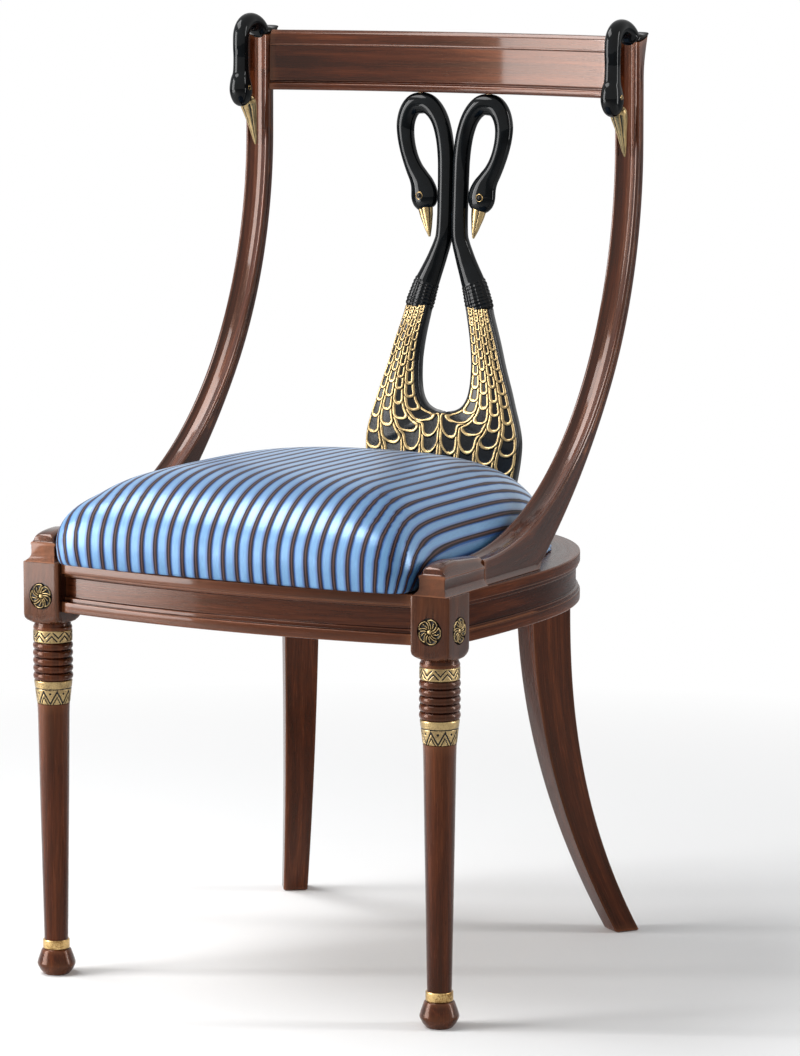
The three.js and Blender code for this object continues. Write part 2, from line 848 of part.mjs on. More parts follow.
function postGeometry() {
  const rings = [];
  const footStations = 7;
  const heelStations = 6;
  const sweepStations = 9;
  const topStations = 5;
  const heelAngle = 73;
  const freeAngle = 38;
  const foot = new THREE.Vector2(postHeelY, railTop);
  const heelTop = postRear(freeAngle);
  const along = postRear(freeAngle + 1).sub(heelTop).normalize();
  const pull = heelTop.clone().addScaledVector(along, postHeelPull);
  const heel = new THREE.QuadraticBezierCurve(foot, pull, heelTop);
  for (let k = 0; k <= footStations; k += 1) {
    const share = k / footStations;
    const rear = new THREE.Vector2(THREE.MathUtils.lerp(capSeamY, postHeelY, share), railTop);
    const front = postFront(THREE.MathUtils.lerp(90, heelAngle, share));
    rings.push(postRing(front, rear, footSoftShare));
  }
  for (let k = 1; k <= heelStations; k += 1) {
    const share = k / (heelStations + 1);
    const front = postFront(THREE.MathUtils.lerp(heelAngle, freeAngle, share));
    const softness = THREE.MathUtils.lerp(footSoftShare, 1, share);
    rings.push(postRing(front, heel.getPoint(share), softness));
  }
  for (let k = 0; k <= sweepStations; k += 1) {
    const degrees = freeAngle * (1 - k / sweepStations);
    rings.push(postRing(postFront(degrees), postRear(degrees), 1));
  }
  for (let k = 1; k <= topStations; k += 1) {
    const share = k / topStations;
    const z = THREE.MathUtils.lerp(postSweepTop, postTop, share);
    const flare = tailReach * Math.max(0, 1 - (postTop - z) / tailRise) ** 2;
    const front = new THREE.Vector2(postFrontTopY, z);
    const rear = new THREE.Vector2(postFrontTopY + postThickness + flare, z);
    rings.push(postRing(front, rear, 1));
  }
  const body = solidFrom(loft(rings, ringSide));
  return geometryFrom(cutAll(body, [
    holeSolid(...footDowelSpan(postDowelY), dowelRadius, dowelSides),
    holeSolid(...crestDowelSpan(), dowelRadius, dowelSides),
    holeSolid(...swanDowelSpan(), swanDowelRadius, dowelSides),
  ]));
}

// A post section lies across the sweep, so its own depth is measured along Y and Z together.
function ringSide(p) {
  return new THREE.Vector2(p.x, p.y - p.z);
}

// The dowel leans with the bow of the crest. Its ends lie halfway between the sunk face and the back
// of the crest, and halfway between the flute and the back of the post.
function crestDowelSpan() {
  const z = (crestTop + crestBottom) / 2;
  const face = legX - postWidth / 2 + postShift(z);
  const inCrestX = face - crestDowelInCrest;
  const inCrestY = crestFaceY(inCrestX) + (crestGroove + crestThickness) / 2;
  const inPostY = postFrontTopY + (postFluteDepth + postThickness) / 2;
  return [
    new THREE.Vector3(inCrestX, inCrestY, z),
    new THREE.Vector3(face + crestDowelInPost, inPostY, z),
  ];
}

// Swan necks on the post tops

const swanRootY = postFrontTopY + swanBaseDepth / 2;
const swanRootX = legX + postShift(postTop);

function swanDowelSpan() {
  const y = swanRootY + swanDowelRadius;
  return [
    new THREE.Vector3(swanRootX, y, postTop - swanDowelInPost),
    new THREE.Vector3(swanRootX, y, postTop + swanDowelInSwan),
  ];
}

// Round section of a carved neck, square to its run in the plane of the neck.
function neckRing(centre, along, across, halfAcross, halfDeep, sides) {
  const deep = new THREE.Vector3().crossVectors(along, across).normalize();
  const ring = [];
  for (let k = 0; k < sides; k += 1) {
    const angle = (2 * Math.PI * (k + 0.5)) / sides;
    ring.push(centre.clone()
      .addScaledVector(across, halfAcross * Math.cos(angle))
      .addScaledVector(deep, halfDeep * Math.sin(angle)));
  }
  return ring;
}

// Rows of the head below the neck: drop as a share of the head's length, step back
// as a share of its depth, then half width and half depth as shares of the head's own.
const swanHeadShares = [
  [0, 0, 0.84, 0.66],
  [0.3, 0, 1, 0.88],
  [0.6, 0.04, 1, 1],
  [0.85, 0.17, 0.8, 0.78],
];

// Rows of the beak from its root to its tip: place along it and size.
const swanBeakShares = [
  [0, 1],
  [0.45, 0.74],
  [1, 0],
];

function swanStations() {
  const arcY = swanRootY - swanArcRadius;
  const arcZ = postTop - swanRootDrop;
  const thick = neckThickness / 2;
  const stations = [];
  const put = (y, z, halfAcross, halfDeep) => stations.push({
    centre: new THREE.Vector3(swanRootX, y, z),
    halfAcross,
    halfDeep,
  });
  for (let degrees = 20; degrees <= 180; degrees += 20) {
    const angle = THREE.MathUtils.degToRad(degrees);
    const root = Math.max(0, 1 - degrees / 80);
    const y = arcY + swanArcRadius * Math.cos(angle);
    const z = arcZ + swanArcRadius * Math.sin(angle);
    put(y, z, THREE.MathUtils.lerp(thick, postWidth / 2, root * 0.8), thick * (1 + root * 0.2));
  }
  const neckY = arcY - swanArcRadius;
  const headTop = arcZ - swanDrop;
  put(neckY, arcZ - swanDrop / 2, thick * 0.92, thick * 0.92);
  for (const [drop, back, across, deep] of swanHeadShares) {
    const y = neckY + swanHeadDepth * back;
    const z = headTop - swanHeadLength * drop;
    put(y, z, (swanHeadWidth / 2) * across, (swanHeadDepth / 2) * deep);
  }
  const root = new THREE.Vector2(neckY + swanHeadDepth * 0.45, headTop - swanHeadLength);
  const tip = new THREE.Vector2(postFrontTopY - fit - beakTipWidth, root.y - beakLength);
  for (const [along, size] of swanBeakShares) {
    const half = THREE.MathUtils.lerp(beakTipWidth, beakWidth, size) / 2;
    const spot = root.clone().lerp(tip, along);
    put(spot.x, spot.y, half, half);
  }
  return stations;
}

function stationRings(stations, across, sides) {
  return stations.map((station, k) => {
    const before = stations[Math.max(k - 1, 0)].centre;
    const after = stations[Math.min(k + 1, stations.length - 1)].centre;
    const along = new THREE.Vector3().subVectors(after, before).normalize();
    return neckRing(station.centre, along, across, station.halfAcross, station.halfDeep, sides);
  });
}

function postSwanGeometry() {
  const across = new THREE.Vector3(1, 0, 0);
  const rings = stationRings(swanStations(), across, 10);
  const neck = solidFrom(loft(rings, (p) => new THREE.Vector2(p.x, p.y + p.z * 0.3)));
  const rear = postFrontTopY + postThickness + tailReach;
  const tail = new THREE.Shape();
  tail.moveTo(postFrontTopY, postTop);
  tail.lineTo(rear, postTop);
  tail.lineTo(rear + saddleTailRise, postTop + saddleHeight + saddleTailRise);
  tail.lineTo(rear - tailReach / 2, postTop + saddleHeight);
  tail.lineTo(postFrontTopY + saddleTailRise, postTop + saddleHeight - saddleTailRise);
  const saddle = new THREE.ExtrudeGeometry(tail, {
    depth: postWidth * 0.8,
    bevelEnabled: false,
  });
  saddle.rotateX(Math.PI / 2);
  saddle.rotateZ(Math.PI / 2);
  saddle.translate(swanRootX - postWidth * 0.4, 0, 0);
  const floor = boxSolid(
    swanRootX - postWidth,
    swanRootX + postWidth,
    postFrontTopY - fit,
    rear + swanBaseDepth,
    postTop - swanArcRadius,
    postTop,
  );
  const whole = neck.add(solidFrom(saddle)).subtract(floor);
  return geometryFrom(whole.subtract(
    holeSolid(...swanDowelSpan(), swanDowelRadius, dowelSides),
  ));
}

// Crest rail

const crestHalf = legX - postWidth / 2 + postShift(crestBottom);

function crestFaceY(x) {
  const share = x / crestHalf;
  return crestEndY + crestSagitta * (1 - share * share);
}

function crestSection() {
  const band = crestTop - crestBandHeight;
  const bead = crestBottom + crestBeadHeight;
  const deep = crestThickness;
  return [
    [crestBandCant + crestArris, crestTop],
    [crestBandCant * 0.6, crestTop - crestBandHeight * 0.3],
    [crestGroove, band],
    [crestGroove, bead + crestGroove],
    [crestGroove * 2, bead],
    [crestArris, bead - crestArris / 2],
    [0, bead - crestBeadHeight * 0.4],
    [crestArris, crestBottom + crestArris / 2],
    [crestArris * 2, crestBottom],
    [deep - crestArris, crestBottom],
    [deep, crestBottom + crestArris],
    [deep, crestTop - crestArris],
    [deep - crestArris, crestTop],
  ];
}

// The crest ends follow the inward lean of the posts.
function crestGeometry() {
  const stations = 14;
  const rings = [];
  for (let k = 0; k <= stations; k += 1) {
    const share = (2 * k) / stations - 1;
    const faceY = crestFaceY(crestHalf * share);
    rings.push(crestSection().map(([depth, z]) => {
      const half = legX - postWidth / 2 + postShift(z) - fit / 2;
      return new THREE.Vector3(half * share, faceY + depth, z);
    }));
  }
  const right = holeSolid(...crestDowelSpan(), dowelRadius, dowelSides);
  const left = solidFrom(mirrored(geometryFrom(right)));
  return geometryFrom(cutAll(solidFrom(loft(rings, seenFromSide)), [
    right, left, ...splatCrestDowels(fit),
  ]));
}

// Splat

// The splat's middle surface leans forward towards the seat.
function splatY(z) {
  const share = THREE.MathUtils.clamp((z - railTop) / (crestBottom - railTop), 0, 1);
  return splatBottomY + (splatTopY - splatBottomY) * (1 - (1 - share) ** 1.5);
}

function splatDowelSpan(x, z, y) {
  return [
    new THREE.Vector3(x, y, z - splatDowelHalf),
    new THREE.Vector3(x, y, z + splatDowelHalf),
  ];
}

function splatCrestDowels(grow) {
  return [1, -1].map((side) => {
    const span = splatDowelSpan(side * splatDowelX, crestBottom, splatTopY);
    return grow
      ? holeSolid(...span, splatDowelRadius, dowelSides)
      : barGeometry(...span, splatDowelRadius, dowelSides);
  });
}

function splatRailDowels(grow) {
  return [1, -1].map((side) => {
    const span = splatDowelSpan(side * splatDowelX, railTop, splatBottomY);
    return grow
      ? holeSolid(...span, splatDowelRadius, dowelSides)
      : barGeometry(...span, splatDowelRadius, dowelSides);
  });
}

// Half of the body beside the opening: height as a share of the opening, then the inner
// and outer edge as shares of the opening's and the body's greatest half width.
const openingShares = [
  [0.02, 0.35, 0.97],
  [0.06, 0.68, 0.955],
  [0.14, 0.9, 0.92],
  [0.32, 1, 0.835],
  [0.45, 0.99, 0.75],
  [0.62, 0.9, 0.67],
  [0.8, 0.75, 0.575],
  [1, 0.56, 0.49],
];
const openingHalfShare = 0.335;

// Heights of the long necks between the collar and the waist, and how far they close up.
const waistShares = [
  [0.35, 0.38],
  [0.7, 0.72],
];

function bodyRows() {
  const neckInner = (splatNeckSpacing - splatNeckThickness) / 2;
  const neckOuter = (splatNeckSpacing + splatNeckThickness) / 2;
  const openingHalf = splatHalfWidth * openingHalfShare;
  const { lerp } = THREE.MathUtils;
  const rows = [
    [railTop, neckInner, splatBaseHalfWidth],
    [(railTop + splatWidestZ) / 2, neckInner, lerp(splatBaseHalfWidth, splatHalfWidth, 0.6)],
    [splatWidestZ, neckInner, splatHalfWidth],
    [splatOpeningFloorZ, neckInner, splatHalfWidth * openingShares[0][2]],
  ];
  for (const [height, inner, outer] of openingShares) {
    const z = lerp(splatOpeningFloorZ, splatCollarZ, height);
    rows.push([z, openingHalf * inner, splatHalfWidth * outer]);
  }
  const [, collarInner, collarOuter] = rows.at(-1);
  for (const [height, closing] of waistShares) {
    const z = lerp(splatCollarZ, splatWaistZ, height);
    rows.push([z, lerp(collarInner, neckInner, closing), lerp(collarOuter, neckOuter, closing)]);
  }
  rows.push([splatWaistZ + overrun, neckInner, neckOuter]);
  return rows;
}

function bodyRing([z, inner, outer]) {
  const half = splatThickness / 2;
  const soft = half * 0.6;
  const width = outer - inner;
  const neckShare = THREE.MathUtils.smoothstep(z, splatOpeningFloorZ, splatWaistZ);
  const front = half + splatBodyBulge * (1 - neckShare * 0.4);
  const y = splatY(z);
  const edge = Math.min(soft, width * 0.25);
  return [
    [inner, half - soft],
    [inner + edge, half],
    [outer - edge, half],
    [outer, half - soft],
    [outer, soft - half],
    [outer - edge, -half],
    [inner + width * 0.7, -front],
    [inner + width * 0.4, -front],
    [inner + edge, -half],
    [inner, soft - half],
  ].map(([x, deep]) => new THREE.Vector3(x, y + deep, z));
}

// The neck runs up, over the loop and down to the head: sideways and upwards as shares
// of the loop, then thickness in the board's plane and through it as shares of the neck.
const splatNeckShares = [
  [0, -0.03, 1, 1],
  [0, 0.27, 1, 1],
  [0, 0.53, 1, 1],
  [0.075, 0.735, 1, 1],
  [0.2, 0.845, 1.08, 1],
  [0.4, 0.905, 1.2, 1],
  [0.645, 0.925, 1.28, 1],
  [0.88, 0.89, 1.12, 1],
  [1, 0.775, 1, 1],
  [0.965, 0.655, 0.95, 0.95],
  [0.81, 0.53, 0.86, 0.9],
  [0.61, 0.42, 0.86, 0.86],
];

// Rows of the head: sideways and downwards as shares of its width and length, then size.
const splatHeadShares = [
  [0.03, 0.24, 0.84, 1],
  [0, -0.1, 1, 1],
  [-0.03, -0.44, 0.84, 0.84],
];

// Rows of the beak: place from the head to the tip, then size.
const splatBeakShares = [
  [0.12, 1],
  [0.55, 0.72],
  [1, 0.3],
];

function splatNeckStations() {
  const thick = splatNeckThickness / 2;
  const axis = splatNeckSpacing / 2;
  const stations = [];
  const put = (x, z, halfDeep, halfAcross) => stations.push({
    centre: new THREE.Vector3(x, splatY(z), z),
    halfAcross,
    halfDeep,
  });
  for (const [aside, rise, wide, deep] of splatNeckShares) {
    const x = THREE.MathUtils.lerp(axis, splatLoopHalfWidth, aside);
    put(x, THREE.MathUtils.lerp(splatWaistZ, splatLoopTop, rise), thick * wide, thick * deep);
  }
  for (const [aside, rise, wide, deep] of splatHeadShares) {
    const x = splatHeadX + splatHeadWidth * aside;
    const z = splatHeadZ + splatHeadLength * rise;
    put(x, z, (splatHeadWidth / 2) * wide, (splatHeadDepth / 2) * deep);
  }
  const root = new THREE.Vector2(splatHeadX, splatHeadZ - splatHeadLength / 2);
  const tip = new THREE.Vector2(splatBeakTipX, splatBeakTipZ);
  for (const [along, size] of splatBeakShares) {
    const spot = root.clone().lerp(tip, along);
    put(spot.x, spot.y, (splatBeakWidth / 2) * size, (splatBeakDepth / 2) * size);
  }
  return stations;
}

function splatGeometry() {
  const body = solidFrom(loft(bodyRows().map(bodyRing), seenFromAbove));
  const rings = stationRings(splatNeckStations(), new THREE.Vector3(0, 1, 0), 10);
  const neck = solidFrom(loft(rings, seenFromAbove));
  const right = body.add(neck);
  const left = solidFrom(mirrored(geometryFrom(right)));
  const above = boxSolid(
    -splatHalfWidth, splatHalfWidth, splatTopY - splatHalfWidth, splatTopY + splatHalfWidth,
    crestBottom, crestTop,
  );
  return geometryFrom(cutAll(right.add(left), [
    above, ...splatCrestDowels(fit), ...splatRailDowels(fit),
  ]));
}

// Seat board and pad

function padOutline(share, inset) {
  const angle = share * 2 * Math.PI;
  const behind = Math.sin(angle) >= 0;
  const power = 2 / (behind ? padBackPower : padFrontPower);
  const reach = (behind ? padBackReach : padFrontReach) - inset;
  const across = Math.sign(Math.cos(angle)) * Math.abs(Math.cos(angle)) ** power;
  const along = Math.sign(Math.sin(angle)) * Math.abs(Math.sin(angle)) ** power;
  return new THREE.Vector2((padHalfWidth - inset) * across, padCentreY + reach * along);
}

function boardGeometry(grow, bottom, top) {
  const outline = new THREE.Shape();
  const steps = padSegments;
  for (let k = 0; k < steps; k += 1) {
    const { x, y } = padOutline(k / steps, padBottomInset + boardInset - grow);
    if (k === 0) outline.moveTo(x, y);
    else outline.lineTo(x, y);
  }
  const geometry = new THREE.ExtrudeGeometry(outline, { depth: top - bottom, bevelEnabled: false });
  geometry.translate(0, 0, bottom);
  return geometry;
}

// The pad swells from a drawn-in lower edge and closes over a flat crown.
function padGeometry() {
  const rings = [];
  const bottom = railTop + fit;
  const ringAt = (inset, scale, z) => {
    const ring = [];
    for (let k = 0; k < padSegments; k += 1) {
      const point = padOutline(k / padSegments, inset);
      const x = point.x * scale;
      const y = padCentreY + (point.y - padCentreY) * scale;
      ring.push(new THREE.Vector3(x, y, z));
    }
    return ring;
  };
  rings.push(ringAt(padBottomInset, 1, bottom));
  rings.push(ringAt(padBottomInset * 0.4, 1, bottom + padBulgeHeight * 0.4));
  for (let k = 0; k <= padRings; k += 1) {
    const scale = Math.cos((k / padRings) * 0.48 * Math.PI);
    const crown = (1 - scale ** padCrownPower) ** (1 / padSidePower);
    const z = bottom + padBulgeHeight + (padHeight - padBulgeHeight) * crown;
    rings.push(ringAt(0, scale, z));
  }
  const pad = solidFrom(loft(rings, seenFromAbove));
  const pocket = boardGeometry(fit, railTop - overrun, railTop + boardThickness + fit);
  return geometryFrom(pad.subtract(solidFrom(pocket)));
}

// Corner blocks and screws

function prism(points, bottom, top) {
  const outline = new THREE.Shape(points);
  const geometry = new THREE.ExtrudeGeometry(outline, { depth: top - bottom, bevelEnabled: false });
  geometry.translate(0, 0, bottom);
  return solidFrom(geometry);
}

const cornerBlockBottom = railTop - cornerBlockHeight;

// The front block fills the corner between the front rail and the side rail.
function frontCornerBlock() {
  const side = sideRailInnerHalfWidth - fit;
  const points = [];
  const steps = 4;
  for (let k = 0; k <= steps; k += 1) {
    const x = side - (cornerBlockLength * k) / steps;
    points.push(new THREE.Vector2(x, frontRailFaceY(x) + frontRailThickness + fit));
  }
  const last = points.at(-1);
  const first = points[0];
  points.push(new THREE.Vector2(last.x, last.y + cornerBlockNose));
  points.push(new THREE.Vector2(first.x - cornerBlockNose, first.y + cornerBlockLength));
  points.push(new THREE.Vector2(first.x, first.y + cornerBlockLength));
  return prism(points, cornerBlockBottom, railTop);
}

function insetInner(degrees, gap) {
  const { outer, inner } = frameAt(degrees);
  const inward = new THREE.Vector3().subVectors(inner, outer).normalize();
  const point = inner.addScaledVector(inward, gap);
  return new THREE.Vector2(point.x, point.y);
}

// The rear block lies against the curved inside of the horseshoe.
function rearCornerBlock() {
  const points = [];
  const steps = 6;
  for (let k = 0; k <= steps; k += 1) {
    points.push(insetInner(THREE.MathUtils.lerp(rearBlockStartAngle, rearBlockEndAngle, k / steps), fit));
  }
  points.push(insetInner(rearBlockEndAngle, fit + cornerBlockNose));
  points.push(insetInner(rearBlockStartAngle, fit + cornerBlockNose));
  return prism(points, cornerBlockBottom, railTop);
}

// A countersunk screw, given where its head's face lies and where its point ends.
function screwGeometry(head, tip) {
  const length = head.distanceTo(tip);
  const geometry = turned([
    [0, 0],
    [screwHeadRadius, 0],
    [screwRadius, screwHeadHeight],
    [screwRadius, length - screwHeadHeight],
    [screwRadius * 0.4, length],
    [0, length],
  ], screwSides);
  const turn = new THREE.Quaternion().setFromUnitVectors(
    new THREE.Vector3(0, 0, 1),
    new THREE.Vector3().subVectors(tip, head).normalize(),
  );
  geometry.applyQuaternion(turn);
  geometry.translate(head.x, head.y, head.z);
  return geometryFrom(solidFrom(geometry));
}

// The clearance hole and countersink of a screw.
function screwHole(head, tip) {
  const run = new THREE.Vector3().subVectors(tip, head).normalize();
  const mouth = head.clone().addScaledVector(run, -overrun);
  const sink = head.clone().addScaledVector(run, screwHeadHeight + fit);
  const end = tip.clone().addScaledVector(run, fit);
  return solidFrom(barGeometry(mouth, sink, screwHeadRadius + fit, screwSides))
    .add(solidFrom(barGeometry(head, end, screwRadius + fit, screwSides)));
}

const blockScrewZ = (cornerBlockBottom + railTop) / 2;

function frontBlockScrews() {
  const inset = cornerBlockLength * 0.72;
  const x = sideRailInnerHalfWidth - inset;
  const wallY = frontRailFaceY(x) + frontRailThickness;
  const y = frontRailFaceY(sideRailInnerHalfWidth) + frontRailThickness + inset;
  const wallX = sideRailInnerHalfWidth;
  return {
    front: [
      new THREE.Vector3(x, wallY + cornerBlockNose - screwSink, blockScrewZ),
      new THREE.Vector3(x, wallY - blockScrewReach, blockScrewZ),
    ],
    side: [
      new THREE.Vector3(wallX - cornerBlockNose + screwSink, y, blockScrewZ),
      new THREE.Vector3(wallX + blockScrewReach, y, blockScrewZ),
    ],
  };
}

function rearBlockScrew(degrees) {
  const { outer, inner } = frameAt(degrees);
  const outward = new THREE.Vector3().subVectors(outer, inner).normalize();
  const wall = inner.setZ(blockScrewZ);
  const head = wall.clone().addScaledVector(outward, screwSink - cornerBlockNose);
  const tip = wall.clone().addScaledVector(outward, blockScrewReach);
  return [head, tip];
}

function seatScrew(x, y) {
  return [
    new THREE.Vector3(x, y, cornerBlockBottom + screwSink),
    new THREE.Vector3(x, y, railTop + seatScrewReach),
  ];
}

const frontSeatScrew = (() => {
  const reach = cornerBlockLength * 0.3;
  const y = frontRailFaceY(sideRailInnerHalfWidth) + frontRailThickness + reach;
  return seatScrew(sideRailInnerHalfWidth - reach, y);
})();
const rearSeatScrew = (() => {
  const middle = (rearBlockStartAngle + rearBlockEndAngle) / 2;
  const chordA = insetInner(rearBlockStartAngle, cornerBlockNose);
  const chordB = insetInner(rearBlockEndAngle, cornerBlockNose);
  const wall = insetInner(middle, 0);
  const chord = chordA.add(chordB).multiplyScalar(0.5);
  const spot = wall.add(chord).multiplyScalar(0.5);
  return seatScrew(spot.x, spot.y);
})();

const rearScrewLow = THREE.MathUtils.lerp(rearBlockStartAngle, rearBlockEndAngle, 0.12);
const rearScrewHigh = THREE.MathUtils.lerp(rearBlockStartAngle, rearBlockEndAngle, 0.88);

const screwSpans = {
  front_block_front_screw: frontBlockScrews().front,
  front_block_side_screw: frontBlockScrews().side,
  rear_block_side_screw: rearBlockScrew(rearScrewLow),
  rear_block_back_screw: rearBlockScrew(rearScrewHigh),
  front_seat_screw: frontSeatScrew,
  rear_seat_screw: rearSeatScrew,
};
const screwHoles = Object.values(screwSpans).map((span) => screwHole(...span));
const bothScrewHoles = screwHoles.flatMap((hole) => [
  hole,
  solidFrom(mirrored(geometryFrom(hole))),
]);

function addFasteners() {
  for (const [name, span] of Object.entries(screwSpans)) {
    addPair(name, screwGeometry(...span), steel, 0.3, 1);
  }
  const dowels = {
    cap_dowel: footDowelSpan(capDowelY),
    post_dowel: footDowelSpan(postDowelY),
    crest_dowel: crestDowelSpan(),
  };
  for (const [name, span] of Object.entries(dowels)) {
    addPair(name, geometryFrom(solidFrom(barGeometry(...span, dowelRadius, dowelSides))), beech, 0.7);
  }
  addPair('swan_dowel', geometryFrom(solidFrom(
    barGeometry(...swanDowelSpan(), swanDowelRadius, dowelSides))), beech, 0.7);
  addPair('splat_crest_dowel', geometryFrom(solidFrom(splatCrestDowels(0)[0])), beech, 0.7);
  addPair('splat_rail_dowel', geometryFrom(solidFrom(splatRailDowels(0)[0])), beech, 0.7);
}

function sideRailGeometry() {
  const rings = [];
  const straightStations = 7;
  const curvedStations = 14;
  for (let k = 0; k < straightStations; k += 1) {
    rings.push(frameRing(sideAt(THREE.MathUtils.lerp(blockHalf, seatWidestAt, k / straightStations))));
  }
  for (let k = 0; k <= curvedStations; k += 1) {
    rings.push(frameRing(frameAt((backRailJointAngle * k) / curvedStations)));
  }
  const body = solidFrom(loft(rings, (p) => new THREE.Vector2(p.x, p.z))).add(sideTenon(0));
  return geometryFrom(cutAll(body, [
    backTenon(fit),
    rearTenon(fit),
    holeSolid(...footDowelSpan(capDowelY), dowelRadius, dowelSides),
    holeSolid(...footDowelSpan(postDowelY), dowelRadius, dowelSides),
    ...screwHoles,
  ]));
}

function addSeatFrame() {
  addPart('front_rail', geometryFrom(cutAll(frontRailGeometry(), bothScrewHoles)), mahogany, 0.3);
  addPair('side_rail', sideRailGeometry(), mahogany, 0.3);
  const backRail = cutAll(backRailGeometry(), [...splatRailDowels(fit), ...bothScrewHoles]);
  addPart('back_rail', geometryFrom(backRail), mahogany, 0.3);
  addPair('front_corner_block', geometryFrom(cutAll(frontCornerBlock(), screwHoles)), beech, 0.75);
  addPair('rear_corner_block', geometryFrom(cutAll(rearCornerBlock(), screwHoles)), beech, 0.75);
}

function addBack() {
  addPair('front_cap', capGeometry(), mahogany, 0.3);
  addPair('back_post', postGeometry(), mahogany, 0.3);
  addPair('post_swan', postSwanGeometry(), ebonised, 0.2);
  addPart('crest_rail', crestGeometry(), mahogany, 0.25);
  addPart('swan_splat', splatGeometry(), ebonised, 0.3);
}

function addSeat() {
  const board = solidFrom(boardGeometry(0, railTop, railTop + boardThickness));
  addPart('seat_board', geometryFrom(cutAll(board, bothScrewHoles)), beech, 0.8);
  addPart('seat_cushion', padGeometry(), satin, 0.45);
}

addFrontLegs();
addPair('rear_leg', rearLegGeometry(), mahogany, 0.35);
addSeatFrame();
addBack();
addSeat();
addFasteners();

// The origin lies on the floor under the middle of the chair.
const bounds = new THREE.Box3().setFromObject(chair);
chair.position.y = -(bounds.min.y + bounds.max.y) / 2;

export default chair;
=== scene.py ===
# Klismos chair with a carved double swan splat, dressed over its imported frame.
# Lengths in the settings are millimetres from the floor point midway between the front legs.
import math
import bpy
import numpy as np
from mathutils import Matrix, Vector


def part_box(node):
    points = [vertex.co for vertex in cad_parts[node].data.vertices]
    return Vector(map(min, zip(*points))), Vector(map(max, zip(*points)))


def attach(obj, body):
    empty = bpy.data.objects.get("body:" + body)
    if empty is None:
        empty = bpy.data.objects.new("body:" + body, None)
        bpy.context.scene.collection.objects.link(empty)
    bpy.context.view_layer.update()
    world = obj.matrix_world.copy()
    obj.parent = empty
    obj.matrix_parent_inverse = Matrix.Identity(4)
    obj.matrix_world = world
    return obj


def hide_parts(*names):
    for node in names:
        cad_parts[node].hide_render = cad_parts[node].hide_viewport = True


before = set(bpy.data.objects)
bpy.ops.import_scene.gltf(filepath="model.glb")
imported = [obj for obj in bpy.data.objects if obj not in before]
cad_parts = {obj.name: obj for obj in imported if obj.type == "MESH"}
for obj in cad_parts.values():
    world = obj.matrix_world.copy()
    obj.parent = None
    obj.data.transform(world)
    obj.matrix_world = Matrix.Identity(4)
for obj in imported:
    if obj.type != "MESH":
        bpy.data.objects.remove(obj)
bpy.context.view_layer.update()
mm = 0.001  # a millimetre in Blender's metres
legLow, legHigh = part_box("right_front_leg")
legAxisY = (legLow[1] + legHigh[1]) / 2 * 1000
pieceCount = 0
cornerShare = 0.46  # the most of an edge that a rounded corner takes

chair = dict(legX=212.0, railTop=408.0, railBottom=360.0, postTop=898.0, crestTop=903.0,
             crestBottom=842.0, gap=0.25)


# helpers for surfaces
def bezierCorners(before, corner, after, radius, steps):
    # a corner becomes a quadratic Bezier that starts and ends a radius away along its two edges
    toBefore, toAfter = before - corner, after - corner
    lengthBefore = np.linalg.norm(toBefore, axis=-1, keepdims=True) + 1e-9
    lengthAfter = np.linalg.norm(toAfter, axis=-1, keepdims=True) + 1e-9
    reach = np.broadcast_to(np.asarray(radius, float), corner.shape[-2:-1])[:, None]
    start = corner + toBefore / lengthBefore * np.minimum(reach, lengthBefore * cornerShare)
    end = corner + toAfter / lengthAfter * np.minimum(reach, lengthAfter * cornerShare)
    t = np.linspace(0, 1, steps + 1)[:, None]
    start, middle, end = start[..., None, :], corner[..., None, :], end[..., None, :]
    curve = start * (1 - t) ** 2 + middle * 2 * t * (1 - t) + end * t ** 2
    return curve.reshape(*corner.shape[:-2], -1, corner.shape[-1])


def softLoop(corners, radius=0.8, steps=3):
    # a closed outline, one or many at once, with every corner rounded
    corners = np.asarray(corners, float)
    return bezierCorners(np.roll(corners, 1, -2), corners, np.roll(corners, -1, -2), radius, steps)


def smoothRows(rows, count):
    # Catmull-Rom curve through the rows, read at even steps
    rows = np.asarray(rows, float)
    padded = np.vstack([2 * rows[0] - rows[1], rows, 2 * rows[-1] - rows[-2]])
    place = np.linspace(0, len(rows) - 1, count)
    k = np.minimum(place.astype(int), len(rows) - 2)
    t = (place - k)[:, None]
    a, b, c, d = padded[k], padded[k + 1], padded[k + 2], padded[k + 3]
    return 0.5 * (2 * b + (c - a) * t + (2 * a - 5 * b + 4 * c - d) * t ** 2
                  + (3 * b - a - 3 * c + d) * t ** 3)


def smoothStep(low, high, value):
    # 3 t^2 - 2 t^3 between the two limits, which may run either way
    t = np.clip((value - low) / (high - low), 0, 1)
    return t * t * (3 - 2 * t)


def mix(a, b, share):
    return a + (b - a) * share


def signedPower(value, power):
    # the power of the size, with the sign kept
    return np.sign(value) * abs(value) ** power


def unit(vectors):
    return vectors / (np.linalg.norm(vectors, axis=-1, keepdims=True) + 1e-12)


def grainOf(rings):
    # distance along the run of the rings, then the place across it, all in metres
    middle = rings.mean(axis=1)
    step = np.linalg.norm(np.diff(middle, axis=0), axis=1)
    along = np.concatenate([[0], np.cumsum(step)])
    run = unit(np.gradient(middle, axis=0) + 1e-6 * (middle[-1] - middle[0]))
    reference = np.array([0, 0, 1.0]) if abs(run[:, 2]).mean() < 0.7 else np.array([1.0, 0, 0])
    side = unit(np.cross(run, reference))
    up = np.cross(side, run)
    offset = rings - middle[:, None]
    across = (offset * side[:, None]).sum(-1)
    rise = (offset * up[:, None]).sum(-1)
    return np.stack([along[:, None] + 0 * across, across, rise], -1) * mm


